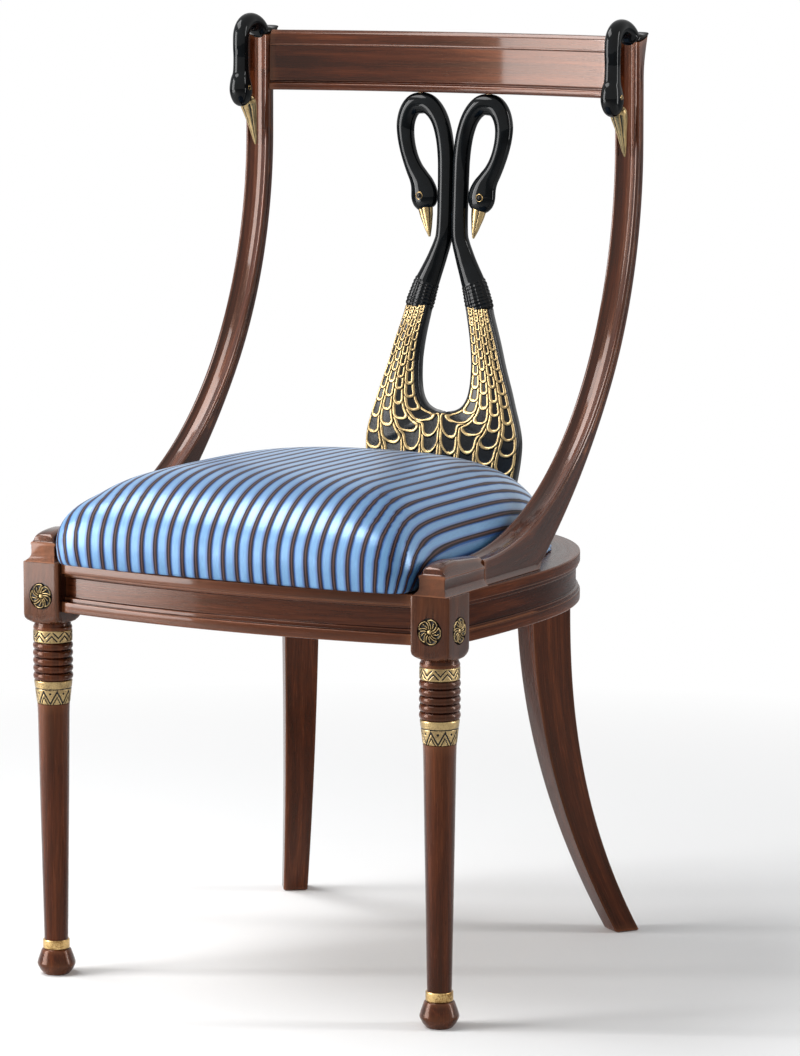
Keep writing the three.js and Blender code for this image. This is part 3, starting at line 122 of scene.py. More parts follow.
def shell(rings, ends=True, grain=None, **fields):
    # quads between neighbouring closed rings; flat faces close the first and the last ring,
    # or the last ring joins the first
    rings = np.asarray(rings, float)
    rows, columns = rings.shape[:2]
    i = np.arange(rows - 1 if ends else rows)[:, None]
    j = np.arange(columns)[None, :]
    a, b = i * columns + j, i * columns + (j + 1) % columns
    c, d = (i + 1) % rows * columns + (j + 1) % columns, (i + 1) % rows * columns + j
    quads = np.stack([a, b, c, d], -1).reshape(-1, 4)
    caps = []
    if ends:
        caps = [np.arange(columns)[::-1], np.arange(columns) + (rows - 1) * columns]
    grain = grainOf(rings) if grain is None else grain
    return dict(points=rings.reshape(-1, 3), quads=quads, caps=caps, grain=grain.reshape(-1, 3),
                fields={k: np.broadcast_to(v, rings.shape[:2]).reshape(-1) for k, v in fields.items()})


def mirrored(part):
    return dict(part, points=part["points"] * [-1, 1, 1])


def outwardFaces(part):
    # the signed volume says which way the faces look; they are turned round if it is negative
    quads, caps, points = part["quads"], part["caps"], part["points"] - part["points"].mean(axis=0)
    triangles = [quads[:, [0, 1, 2]], quads[:, [0, 2, 3]]]
    triangles += [np.stack([np.full(len(c) - 2, c[0]), c[1:-1], c[2:]], -1) for c in caps]
    a, b, c = (points[np.vstack(triangles)[:, k]] for k in range(3))
    if (a * np.cross(b, c)).sum() < 0:
        return quads[:, ::-1], [cap[::-1] for cap in caps]
    return quads, caps


def addPiece(name, parts, material, slot, nodes=(), sharp=40, weighted=True):
    # joins closed shells into one object, places it in the frame and hides the parts that it stands for
    global pieceCount
    parts = parts if isinstance(parts, list) else [parts]
    points, faces, start = [], [], 0
    for part in parts:
        quads, caps = outwardFaces(part)
        faces += (quads + start).tolist() + [(cap + start).tolist() for cap in caps]
        points.append(part["points"])
        start += len(part["points"])
    places = np.vstack(points) * mm + [0, legAxisY * mm, 0]
    mesh = bpy.data.meshes.new(name)
    mesh.from_pydata(places.tolist(), [], faces)
    pieceCount += 1
    grain = np.vstack([part["grain"] for part in parts]) + pieceCount * np.array([0.37, 0.113, 0.071])
    mesh.attributes.new("grain", "FLOAT_VECTOR", "POINT").data.foreach_set("vector", grain.ravel())
    for field in parts[0]["fields"]:
        values = np.concatenate([part["fields"][field] for part in parts])
        mesh.attributes.new(field, "FLOAT", "POINT").data.foreach_set("value", values)
    mesh.polygons.foreach_set("use_smooth", [True] * len(mesh.polygons))
    mesh.set_sharp_from_angle(angle=math.radians(sharp))
    mesh.materials.append(material)
    piece = bpy.data.objects.new(name, mesh)
    bpy.context.scene.collection.objects.link(piece)
    if weighted:
        even = piece.modifiers.new("even_shading", "WEIGHTED_NORMAL")
        even.keep_sharp = True
    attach(piece, "root")
    if nodes:
        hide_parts(*nodes)
    return piece


def addPair(name, parts, material, slot, node=None, **options):
    parts = parts if isinstance(parts, list) else [parts]
    for side, group in (("right", parts), ("left", [mirrored(part) for part in parts])):
        nodes = [f"{side}_{node}"] if node else []
        addPiece(f"{side}_{name}", group, material, slot, nodes, **options)


def turnedRings(profile, sides, centre=(0, 0)):
    # a profile of radius and height swept round the vertical axis
    profile = np.asarray(profile, float)
    angle = np.arange(sides) * 2 * np.pi / sides
    radius = profile[:, :1]
    x = centre[0] + radius * np.cos(angle)
    y = centre[1] + radius * np.sin(angle)
    return np.stack([x, y, np.broadcast_to(profile[:, 1:], x.shape)], -1)


def tubeRings(centres, halfAcross, halfDeep, across, sides=28, power=2.0, ripple=None):
    # superellipse sections square to a path that stays in the plane across that axis
    centres = np.asarray(centres, float)
    across = np.asarray(across, float)
    run = unit(np.gradient(centres, axis=0))
    deep = unit(np.cross(run, across))
    angle = (np.arange(sides) + 0.5) * 2 * np.pi / sides
    scale = 1 if ripple is None else ripple
    a = np.asarray(halfAcross)[:, None] * signedPower(np.cos(angle), 2 / power) * scale
    b = np.asarray(halfDeep)[:, None] * signedPower(np.sin(angle), 2 / power) * scale
    return centres[:, None] + a[..., None] * across + b[..., None] * deep[:, None]


# materials
def newGroup(name, inputs, outputs):
    group = bpy.data.node_groups.new(name, "ShaderNodeTree")
    for label, kind in inputs:
        group.interface.new_socket(label, in_out="INPUT", socket_type=kind)
    for label in outputs:
        group.interface.new_socket(label, in_out="OUTPUT", socket_type="NodeSocketFloat")
    return group, group.nodes.new("NodeGroupInput"), group.nodes.new("NodeGroupOutput")


def put(tree, kind, links=None, **values):
    # a node with its values set, and links from other nodes' outputs into its inputs
    node = tree.nodes.new("ShaderNode" + kind)
    for key, value in values.items():
        if hasattr(node, key):
            setattr(node, key, value)
        else:
            node.inputs[key.replace("_", " ")].default_value = value
    for key, output in (links or {}).items():
        tree.links.new(output, node.inputs[key])
    return node


def ramp(tree, factor, stops):
    node = put(tree, "ValToRGB", {"Fac": factor})
    elements = node.color_ramp.elements
    elements[0].position, elements[0].color = stops[0][0], (*stops[0][1], 1)
    elements[1].position, elements[1].color = stops[-1][0], (*stops[-1][1], 1)
    for place, colour in stops[1:-1]:
        elements.new(place).color = (*colour, 1)
    return node.outputs["Color"]


def noise(tree, vector, scale, detail=3.0, rough=0.5, twist=0.0):
    stretched = put(tree, "Mapping", {"Vector": vector}, Scale=scale)
    node = put(tree, "TexNoise", {"Vector": stretched.outputs["Vector"]},
               Scale=1.0, Detail=detail, Roughness=rough, Distortion=twist)
    return node.outputs["Fac"]


def mapRange(tree, value, low, high, to=(0.0, 1.0)):
    node = put(tree, "MapRange", {"Value": value})
    for socket, number in zip(("From Min", "From Max", "To Min", "To Max"), (low, high, *to)):
        node.inputs[socket].default_value = number
    return node.outputs["Result"]


def blendColour(tree, factor, a, b, mode="MIX"):
    node = tree.nodes.new("ShaderNodeMix")
    node.data_type, node.blend_type = "RGBA", mode
    for socket, value in ((0, factor), (6, a), (7, b)):
        if isinstance(value, (tuple, float)):
            node.inputs[socket].default_value = (*value, 1) if isinstance(value, tuple) else value
        else:
            tree.links.new(value, node.inputs[socket])
    return node.outputs[2]


def math2(tree, operation, a, b):
    node = put(tree, "Math", operation=operation)
    for k, value in enumerate((a, b)):
        if isinstance(value, float):
            node.inputs[k].default_value = value
        else:
            tree.links.new(value, node.inputs[k])
    return node.outputs["Value"]


def makeWoodFigure():
    # tone: long soft streaks; fibre: hair-fine lines along the run; pores: short dark flecks
    group, given, out = newGroup("woodFigure", [("Vector", "NodeSocketVector")], ["Tone", "Fibre", "Pores"])
    vector = given.outputs["Vector"]
    tone = noise(group, vector, (5, 95, 95), 4.0, 0.58, 0.5)
    fibre = noise(group, vector, (28, 760, 760), 3.0, 0.6)
    flecks = noise(group, vector, (75, 1500, 1500), 1.0)
    pores = mapRange(group, flecks, 0.6, 0.72)
    for label, value in (("Tone", tone), ("Fibre", fibre), ("Pores", pores)):
        group.links.new(value, out.inputs[label])
    return group


def makeEdgeWearAndLight():
    # rub: where the surface turns outwards, for rubbed wear, and on wood also a painted highlight;
    # crease: where it turns inwards, for painted shade in the wood and darker creases in the gilt;
    # pointiness is a half on a flat face, and both marks start a little to either side of that
    group, given, out = newGroup("edgeWearAndLight", [("Reach", "NodeSocketFloat")], ["Rub", "Crease"])
    bend = group.nodes.new("ShaderNodeNewGeometry").outputs["Pointiness"]
    high = math2(group, "ADD", given.outputs["Reach"], 0.5)
    low = math2(group, "SUBTRACT", 0.5, given.outputs["Reach"])
    rubAndHighlight = put(group, "MapRange", {"Value": bend, "From Max": high})
    rubAndHighlight.inputs["From Min"].default_value = 0.512
    crease = put(group, "MapRange", {"Value": bend, "From Max": low})
    crease.inputs["From Min"].default_value = 0.49
    group.links.new(rubAndHighlight.outputs["Result"], out.inputs["Rub"])
    group.links.new(crease.outputs["Result"], out.inputs["Crease"])
    return group


def makeHandWork():
    # slow: the uneven surface that a hand tool leaves; speck: fine grains of dust and pitting
    group, given, out = newGroup("handWork", [("Vector", "NodeSocketVector")], ["Slow", "Speck"])
    slow = noise(group, given.outputs["Vector"], (70, 70, 70), 3.0, 0.55)
    speck = noise(group, given.outputs["Vector"], (1100, 1100, 1100), 2.0, 0.6)
    group.links.new(slow, out.inputs["Slow"])
    group.links.new(speck, out.inputs["Speck"])
    return group


woodFigure, edgeWearAndLight, handWork = makeWoodFigure(), makeEdgeWearAndLight(), makeHandWork()


def startMaterial(name, **values):
    material = bpy.data.materials.new(name)
    material.use_nodes = True
    tree = material.node_tree
    shader = tree.nodes["Principled BSDF"]
    for key, value in values.items():
        shader.inputs[key.replace("_", " ")].default_value = value
    return material, tree, shader


def useGroup(tree, group, **links):
    node = tree.nodes.new("ShaderNodeGroup")
    node.node_tree = group
    for key, value in links.items():
        if isinstance(value, float):
            node.inputs[key].default_value = value
        else:
            tree.links.new(value, node.inputs[key])
    return node


def addBump(tree, shader, height, strength, distance, below=None):
    node = put(tree, "Bump", {"Height": height}, Strength=strength, Distance=distance)
    if below is not None:
        tree.links.new(below, node.inputs["Normal"])
    tree.links.new(node.outputs["Normal"], shader.inputs["Normal"])
    return node.outputs["Normal"]


def makeWood(name, look, source="grain"):
    # streaks pick the colour, pores darken it, painted shade darkens the creases, and outward edges lighten
    # as rubbed wear with a painted highlight
    material, tree, shader = startMaterial(
        name, Coat_Weight=look["coat"], Coat_Roughness=look["coatRough"], Specular_IOR_Level=look["spec"],
        Specular_Tint=look["tint"])
    if source == "grain":
        vector = put(tree, "Attribute", attribute_name="grain").outputs["Vector"]
    else:
        place = put(tree, "TexCoord").outputs["Object"]
        vector = put(tree, "Mapping", {"Vector": place}, Rotation=source).outputs["Vector"]
    figure = useGroup(tree, woodFigure, Vector=vector).outputs
    wearAndLight = useGroup(tree, edgeWearAndLight, Reach=look["reach"]).outputs
    dark, mid, light = look["colours"]
    colour = ramp(tree, figure["Tone"], [(0.28, dark), (0.5, mid), (0.74, light)])
    fibre = mapRange(tree, figure["Fibre"], 0.3, 0.7, (1 - look["fibre"], 1 + look["fibre"] * 0.5))
    colour = blendColour(tree, 1.0, colour, fibre, "MULTIPLY")
    colour = blendColour(tree, math2(tree, "MULTIPLY", figure["Pores"], look["pores"]), colour, dark)
    # painted shade: the creases darken towards the crease colour
    colour = blendColour(tree, math2(tree, "MULTIPLY", wearAndLight["Crease"], look["crease"]), colour, look["dirtAndShade"])
    # outward edges lighten towards the edge colour: rubbed wear and a painted highlight
    colour = blendColour(tree, math2(tree, "MULTIPLY", wearAndLight["Rub"], look["rubAndHighlight"]), colour, look["bare"])
    tree.links.new(colour, shader.inputs["Base Color"])
    rough = mapRange(tree, figure["Fibre"], 0.2, 0.8, look["rough"])
    tree.links.new(rough, shader.inputs["Roughness"])
    height = math2(tree, "SUBTRACT", figure["Fibre"], figure["Pores"])
    addBump(tree, shader, height, look["bump"], 0.0004)
    return material


# the crease colour below is painted shade; the edge colour is rubbed wear with a painted highlight
woodLook = dict(colours=((0.010, 0.0019, 0.0008), (0.042, 0.0080, 0.0024), (0.105, 0.025, 0.0075)),
                dirtAndShade=(0.004, 0.0015, 0.001), bare=(0.26, 0.095, 0.04), reach=0.075, rubAndHighlight=0.6, crease=0.9,
                fibre=0.4, pores=0.55, rough=(0.2, 0.3), coat=0.44, coatRough=0.06, spec=0.3, bump=0.12,
                tint=(1.0, 0.45, 0.25, 1))
blockLook = dict(woodLook, rubAndHighlight=0.25, coat=0.3,
                 colours=((0.008, 0.0016, 0.0007), (0.029, 0.0060, 0.0020), (0.060, 0.015, 0.0050)))
legLook = dict(woodLook, coat=0.2)
railLook = dict(woodLook, coat=0.03, spec=0.08)
beechLook = dict(colours=((0.40, 0.25, 0.13), (0.50, 0.33, 0.18), (0.58, 0.41, 0.24)),
                 dirtAndShade=(0.2, 0.12, 0.06), bare=(0.6, 0.45, 0.3), reach=0.08, rubAndHighlight=0.3, crease=0.5,
                 fibre=0.16, pores=0.35, rough=(0.55, 0.7), coat=0.0, coatRough=0.3, spec=0.4, bump=0.3,
                 tint=(1, 1, 1, 1))
mahogany = makeWood("polishedMahogany", woodLook)
mahoganyLeg = makeWood("polishedMahoganyLeg", legLook)
mahoganyRail = makeWood("polishedMahoganyRail", railLook)
mahoganyBlock = makeWood("polishedMahoganyBlock", blockLook, (0.0, math.radians(90), 0.0))
beech = makeWood("plainBeech", beechLook, (0.0, 0.0, 0.0))


def makeEbonised():
    # near black with a faint blue-green cast, softly uneven as a brushed finish is
    material, tree, shader = startMaterial(
        "ebonisedGloss", Coat_Weight=0.3, Coat_Roughness=0.03, Specular_IOR_Level=0.02)
    place = put(tree, "TexCoord").outputs["Object"]
    work = useGroup(tree, handWork, Vector=place).outputs
    wearAndLight = useGroup(tree, edgeWearAndLight, Reach=0.09).outputs
    colour = ramp(tree, work["Slow"], [(0.3, (0.001, 0.0014, 0.0018)), (0.7, (0.003, 0.0042, 0.0052))])
    colour = blendColour(tree, math2(tree, "MULTIPLY", wearAndLight["Rub"], 0.35), colour, (0.045, 0.03, 0.02))
    tree.links.new(colour, shader.inputs["Base Color"])
    tree.links.new(mapRange(tree, work["Speck"], 0.2, 0.8, (0.12, 0.24)), shader.inputs["Roughness"])
    soft = addBump(tree, shader, work["Slow"], 0.14, 0.0012)
    addBump(tree, shader, work["Speck"], 0.05, 0.0002, soft)
    return material


giltLook = dict(bright=(0.68, 0.47, 0.20), worn=(0.22, 0.12, 0.038), dusty=(0.28, 0.22, 0.12),
                dirtAndShade=(0.03, 0.018, 0.01), black=(0.003, 0.0035, 0.004), dust=0.55)


def makeGilt(name, masked):
    # leaf that is brighter on its high places; where the gilt attribute is low the ground is black
    material, tree, shader = startMaterial(name, Coat_Weight=0.1, Coat_Roughness=0.2, Specular_IOR_Level=0.2)
    place = put(tree, "TexCoord").outputs["Object"]
    work = useGroup(tree, handWork, Vector=place).outputs
    wearAndLight = useGroup(tree, edgeWearAndLight, Reach=0.06).outputs
    patches = math2(tree, "ADD", work["Slow"], mapRange(tree, work["Speck"], 0.25, 0.75, (-0.22, 0.22)))
    leaf = ramp(tree, patches, [(0.3, giltLook["worn"]), (0.6, giltLook["bright"])])
    leaf = blendColour(tree, math2(tree, "MULTIPLY", wearAndLight["Crease"], 0.8), leaf, giltLook["dirtAndShade"])
    leafRough = mapRange(tree, work["Speck"], 0.25, 0.75, (0.22, 0.42))
    if masked:
        mask = put(tree, "Attribute", attribute_name="gilt").outputs["Fac"]
        ragged = math2(tree, "ADD", mask, mapRange(tree, work["Speck"], 0.25, 0.75, (-0.5, 0.15)))
        mask = mapRange(tree, ragged, 0.42, 0.58)
        leaf = blendColour(tree, giltLook["dust"], leaf, giltLook["dusty"])
        leaf = blendColour(tree, mask, giltLook["black"], leaf)
        tree.links.new(mask, shader.inputs["Metallic"])
        leafRough = math2(tree, "MULTIPLY", leafRough, mapRange(tree, mask, 0.0, 1.0, (0.6, 1.0)))
    else:
        shader.inputs["Metallic"].default_value = 1.0
    tree.links.new(leaf, shader.inputs["Base Color"])
    tree.links.new(leafRough, shader.inputs["Roughness"])
    soft = addBump(tree, shader, work["Slow"], 0.25, 0.001)
    addBump(tree, shader, work["Speck"], 0.1, 0.0003, soft)
    return material


def makeSteel():
    material, tree, shader = startMaterial("screwSteel", Metallic=1.0)
    place = put(tree, "TexCoord").outputs["Object"]
    work = useGroup(tree, handWork, Vector=place).outputs
    tree.links.new(ramp(tree, work["Slow"], [(0.3, (0.32, 0.32, 0.31)), (0.7, (0.55, 0.55, 0.53))]),
                   shader.inputs["Base Color"])
    tree.links.new(mapRange(tree, work["Speck"], 0.2, 0.8, (0.3, 0.5)), shader.inputs["Roughness"])
    return material


satinLook = dict(pitch=14.9, ribs=9.0, threads=12.6, slub=(2.2, 0.14),
                 blue=(0.034, 0.125, 0.34), pale=(0.085, 0.245, 0.46), deep=(0.014, 0.05, 0.17),
                 plum=(0.006, 0.003, 0.009), tan=(0.080, 0.036, 0.030))


def makeSatin():
    # stripes follow the woven width: a satin ground, then a tan thread line between two dark ones;
    # the ground runs from deep at its edges to pale in its middle, partly the cloth's own colour and partly
    # painted sheen and painted shade; fine ribs run across the stripes
    material, tree, shader = startMaterial(
        "stripedSatin", Sheen_Weight=0.1, Sheen_Roughness=0.3, Specular_Tint=(1.0, 1.0, 0.94, 1),
        Coat_Roughness=0.34)
    shader.inputs["Sheen Tint"].default_value = (0.75, 0.88, 1.0, 1)
    across = put(tree, "Attribute", attribute_name="stripe").outputs["Fac"]
    along = put(tree, "Attribute", attribute_name="run").outputs["Fac"]
    place = put(tree, "TexCoord").outputs["Object"]
    work = useGroup(tree, handWork, Vector=place).outputs
    look = satinLook
    share = math2(tree, "FRACT", math2(tree, "DIVIDE", across, look["pitch"]), 0.0)
    # each blue band: deep at the edges, pale in the middle, a painted sheen and painted shade over the
    # cloth's own blue
    colour = ramp(tree, share, [
        (0.0, look["blue"]), (0.12, look["pale"]), (0.40, look["pale"]), (0.51, look["blue"]),
        (0.60, look["deep"]), (0.63, look["plum"]), (0.71, look["plum"]), (0.74, look["tan"]),
        (0.79, look["tan"]), (0.82, look["plum"]), (0.90, look["plum"]), (0.93, look["deep"]),
        (1.0, look["blue"])])
    thread = put(tree, "CombineXYZ", {
        "X": math2(tree, "MULTIPLY", across, look["slub"][0]),
        "Y": math2(tree, "MULTIPLY", along, look["slub"][1])}).outputs["Vector"]
    slub = put(tree, "TexNoise", {"Vector": thread}, Scale=1.0, Detail=2.0).outputs["Fac"]
    colour = blendColour(tree, 1.0, colour, mapRange(tree, slub, 0.3, 0.7, (0.86, 1.1)), "MULTIPLY")
    tree.links.new(colour, shader.inputs["Base Color"])
    ground = mapRange(tree, share, 0.60, 0.63)
    rough = mapRange(tree, slub, 0.2, 0.8, (0.33, 0.41))
    tree.links.new(mapRange(tree, ground, 0.0, 1.0, (0.28, 0.1)), shader.inputs["Metallic"])
    tree.links.new(mapRange(tree, ground, 0.0, 1.0, (0.4, 0.0)), shader.inputs["Coat Weight"])
    tree.links.new(mapRange(tree, ground, 0.0, 1.0, (1.0, 0.22)), shader.inputs["Specular IOR Level"])
    rough = math2(tree, "ADD", rough, math2(tree, "MULTIPLY", ground, 0.16))
    tree.links.new(rough, shader.inputs["Roughness"])
    rib = math2(tree, "SINE", math2(tree, "MULTIPLY", along, look["ribs"]), 0.0)
    fibre = math2(tree, "SINE", math2(tree, "MULTIPLY", across, look["threads"]), 0.0)
    weave = math2(tree, "ADD", math2(tree, "MULTIPLY", rib, fibre), math2(tree, "MULTIPLY", ground, 1.2))
    soft = addBump(tree, shader, work["Slow"], 0.12, 0.002)
    addBump(tree, shader, weave, 0.05, 0.00025, soft)
    return material


ebonised, gilt, feathering = makeEbonised(), makeGilt("agedGilt", False), makeGilt("giltOnBlack", True)
steel, satin = makeSteel(), makeSatin()
print("materials made")

# hidden wood and steel keep their CAD shape
for nodeName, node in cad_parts.items():
    finish = steel if nodeName.endswith("screw") else beech
    if nodeName.endswith(("screw", "dowel", "corner_block", "seat_board")):
        for place in node.material_slots:
            place.link, place.material = "OBJECT", finish


# front legs
leg = dict(blockHalf=20.25, rosetteZ=375.0, sides=72, groundRadius=13.0, groundDepth=2.0,
           rings=5, ringPitch=7.4, ringsTop=328.5, ringRadius=19.3, grooveRadius=17.2,
           upperBand=(18.9, 18.9, 329, 340.5), lowerBand=(15.9, 18.6, 268.5, 291),
           ankleBand=(13, 13, 25.5, 34.5))  # each band: radius below and above, foot and top


def blockRings():
    # a square with barely rounded corners, narrowed by a circle at its foot:
    # r = 1 / (|cos / h|^p + |sin / h|^p)^(1/p), then a soft minimum with the circle
    turn = np.sin(np.linspace(-1, 1, 13)[:-1] * np.pi / 2)
    angle = (np.arange(4)[:, None] * np.pi / 2 + np.arctan(turn)).ravel()
    power, blend = 30.0, 40.0
    rows = np.array([  # height, inset, limiting radius
        (347.5, 0, 17.6), (347.9, 0, 18.9), (349.2, 0, 22.2), (350.9, 0, 25.2), (353.0, 0, 27.4),
        (355.4, 0, 28.9), (355.9, 0, 60), (380, 0, 60), (407.1, 0, 60), (407.7, 0.25, 60), (408, 0.9, 60)])
    half = (leg["blockHalf"] - rows[:, 1])[:, None]
    square = 1 / ((abs(np.cos(angle)) / half) ** power + (abs(np.sin(angle)) / half) ** power) ** (1 / power)
    limit = rows[:, 2][:, None]
    radius = (square ** -blend + limit ** -blend) ** (-1 / blend)
    x = chair["legX"] + radius * np.cos(angle)
    return np.stack([x, radius * np.sin(angle), np.broadcast_to(rows[:, :1], x.shape)], -1)


def shaftProfile():
    # radius and height from the floor up; the turned rings swell as |sin(pi level)|^0.55
    foot = [(11.6, 0), (12.7, 0.5), (15.9, 4.4), (18.1, 8.6), (18.6, 10.3), (18.5, 11.9), (17.2, 16.2),
            (15.6, 20.8), (14.3, 24.3), (13.3, 25.3)]
    shaft = [(11.5, 25.6), (11.5, 34.2), (11.6, 34.8), (12.6, 92), (14.2, 185), (15.3, 258), (15.7, 268.1),
             (14.2, 268.6), (16.9, 291.1)]
    level = np.linspace(0, leg["rings"], leg["rings"] * 10 + 1)[1:-1]
    swell = abs(np.sin(np.pi * level)) ** 0.55
    radius = mix(leg["grooveRadius"], leg["ringRadius"], swell)
    height = leg["ringsTop"] - leg["rings"] * leg["ringPitch"] + level * leg["ringPitch"]
    top = [(17.2, 328.6), (17.2, 340.4), (18.4, 340.7), (18.75, 341.6), (18.75, 343.2), (18.3, 344.3),
           (17.6, 345.2), (17.6, 351)]
    return np.vstack([foot, shaft, np.stack([radius, height], 1), top])


def cutGrounds(name, side):
    # the two round sunk grounds, cut from the block with exact booleans and then applied
    block = bpy.data.objects[name]
    x, z, spare = side * chair["legX"], leg["rosetteZ"], 3
    reach = leg["blockHalf"] - leg["groundDepth"] / 2 + spare / 2
    quarter = math.radians(90)
    cutters = []
    for cx, cy, turn in ((x, -reach, (quarter, 0, 0)), (x + side * reach, 0.0, (0, quarter, 0))):
        bpy.ops.mesh.primitive_cylinder_add(
            vertices=64, radius=leg["groundRadius"] * mm, depth=(leg["groundDepth"] + spare) * mm,
            location=(cx * mm, (cy + legAxisY) * mm, z * mm), rotation=turn)
        cutter = bpy.context.object
        cutters.append(cutter)
        hollow = block.modifiers.new("ground", "BOOLEAN")
        hollow.operation, hollow.object, hollow.solver = "DIFFERENCE", cutter, "EXACT"
    block.modifiers.move(0, 2)
    graph = bpy.context.evaluated_depsgraph_get()
    block.modifiers["even_shading"].show_viewport = False
    graph.update()
    mesh = bpy.data.meshes.new_from_object(block.evaluated_get(graph), depsgraph=graph)
    block.modifiers.remove(block.modifiers["ground"])
    block.modifiers.remove(block.modifiers["ground.001"])
    block.modifiers["even_shading"].show_viewport = True
    block.data = mesh
    for cutter in cutters:
        bpy.data.objects.remove(cutter)


band = dict(rows=41, sides=192, sink=0.55, arris=0.5, wall=2.2)


def bandRings(bottomRadius, topRadius, bottom, top, pattern):
    # a collar whose outer face sinks where the pattern is low
    height, sides = np.linspace(0, 1, band["rows"]), band["sides"]
    angle = np.arange(sides) / sides
    raised = pattern(height[:, None], angle[None, :])
    radius = mix(bottomRadius, topRadius, height)[:, None] - band["sink"] * (1 - raised)
    edge = np.minimum(height, 1 - height)[:, None] * (top - bottom)
    radius = radius - band["arris"] * (1 - smoothStep(0, 0.8, edge))
    z = np.broadcast_to(mix(bottom, top, height)[:, None], radius.shape)
    radius = np.vstack([np.full(sides, bottomRadius - band["wall"]), radius,
                        np.full(sides, topRadius - band["wall"])])
    z = np.vstack([np.full(sides, bottom), z, np.full(sides, top)])
    raised = np.vstack([raised[0], raised, raised[-1]])
    turn = angle * 2 * np.pi
    rings = np.stack([chair["legX"] + radius * np.cos(turn), radius * np.sin(turn), z], -1)
    return shell(rings, ends=False, gilt=raised)


def plainPattern(v, u):
    return np.ones_like(v + u)


def zigzag(u, count):
    # one at each turn and nought between, count times round
    return abs((u * count) % 1 * 2 - 1)


def upperPattern(v, u):
    # a raised zigzag between two rims, with a small raised wedge in every bay
    wave = zigzag(u, 9)
    line = 1 - smoothStep(0.11, 0.17, abs(v - mix(0.2, 0.8, wave)))
    below = mix(0.2, 0.8, wave) - v
    wedge = smoothStep(0.26, 0.32, below) + smoothStep(0.26, 0.32, -below)
    rim = smoothStep(0.14, 0.08, np.minimum(v, 1 - v))
    return np.clip(line + wedge + rim, 0, 1)


def lowerPattern(v, u):
    # a plain ring above; below it a broad sunk zigzag, a chevron within each peak and a dot between
    wave = zigzag(u, 8)
    ridge = mix(0.03, 0.56, wave)
    line = 1 - smoothStep(0.045, 0.075, abs(v - ridge))
    chevron = 1 - smoothStep(0.03, 0.05, abs(v - ridge + 0.24))
    dot = 1 - smoothStep(0.8, 1.3, np.hypot((v - 0.47) * 22.5, wave * 6.4))
    seam = 1 - smoothStep(0.012, 0.03, abs(v - 0.66))
    return 1 - np.clip(line + chevron + dot + 0.6 * seam, 0, 1)


def onBlock(rings, turn, lift):
    # from the plane of a flower to a face of the block, a little above the floor of the sunk ground
    turn = np.asarray(turn, float)
    seat = leg["blockHalf"] - leg["groundDepth"] + lift
    return rings @ turn + turn[2] * seat + [chair["legX"], 0, leg["rosetteZ"]]


rosette = dict(radius=12.7, petals=5, lift=0.2, twist=0.7, sides=216, hub=0.012, notch=0.22, back=0.97,
               edge=1.15, line=0.85, floor=0.7, petalRise=1.7, dome=0.5, bossRise=2.2)


def rosetteShell(turn):
    # a disc in polar rows whose rim follows the petals; each petal is a raised line round a hollow
    # with a vein in it, and all of them wind a little from the small boss out to the rim
    angle = np.arange(rosette["sides"]) * 2 * np.pi / rosette["sides"]
    hub, back = rosette["hub"], rosette["back"]
    share = np.concatenate([np.linspace(1, 0.05, 40), [hub]])[:, None]
    swirl = (angle + rosette["twist"] * (1 - share)) * rosette["petals"] / 2
    petal = abs(np.cos(swirl))
    scallop = abs(np.cos(angle * rosette["petals"] / 2)) ** 0.5
    rim = rosette["radius"] * (1 - rosette["notch"] + rosette["notch"] * scallop)
    across = np.arccos(np.clip(petal, 0, 1)) * 2 / rosette["petals"] * share * rosette["radius"]
    halfWidth = np.pi / rosette["petals"] * share * rosette["radius"]
    toEdge = np.minimum(halfWidth - across, (1 - share) * rosette["radius"])
    line = np.exp(-((toEdge - rosette["edge"]) / rosette["line"]) ** 2)
    vein = np.exp(-(across / rosette["line"]) ** 2)
    vein = vein * smoothStep(0.3, 0.4, share) * smoothStep(0.84, 0.74, share)
    boss = np.clip(1 - (share / 0.2) ** 2, 0, 1) ** 0.5
    petals = np.maximum(line, 0.9 * vein) * smoothStep(0.2, 0.27, share)
    raised = np.maximum(petals, smoothStep(0.2, 0.5, boss))
    dome = rosette["dome"] * np.sin(np.pi * np.clip(share, 0, 1))
    height = rosette["floor"] + rosette["petalRise"] * petals + dome + rosette["bossRise"] * boss
    front = np.stack([rim * share * np.cos(angle), rim * share * np.sin(angle), height], -1)
    behind = np.stack([rim * np.cos(angle) * back, rim * np.sin(angle) * back, np.zeros_like(rim)], -1)
    centre = behind * [hub / back, hub / back, 1]
    rings = np.concatenate([centre[None], behind[None], front])
    gold = np.vstack([np.zeros((2, rosette["sides"])), raised])
    return shell(onBlock(rings, turn, rosette["lift"]), grain=rings * mm, gilt=gold)


def groundShell(turn):
    # a thin dark disc on the floor of a sunk ground
    angle = np.arange(64) * 2 * np.pi / 64
    disc = np.stack([np.cos(angle), np.sin(angle), 0 * angle], -1) * (leg["groundRadius"] - 0.1)
    hub, lift = [0.02, 0.02, 1], [0, 0, 0.35]
    rings = np.stack([disc * hub, disc, disc + lift, disc * hub + lift])
    return shell(onBlock(rings, turn, 0.02), grain=rings * mm)


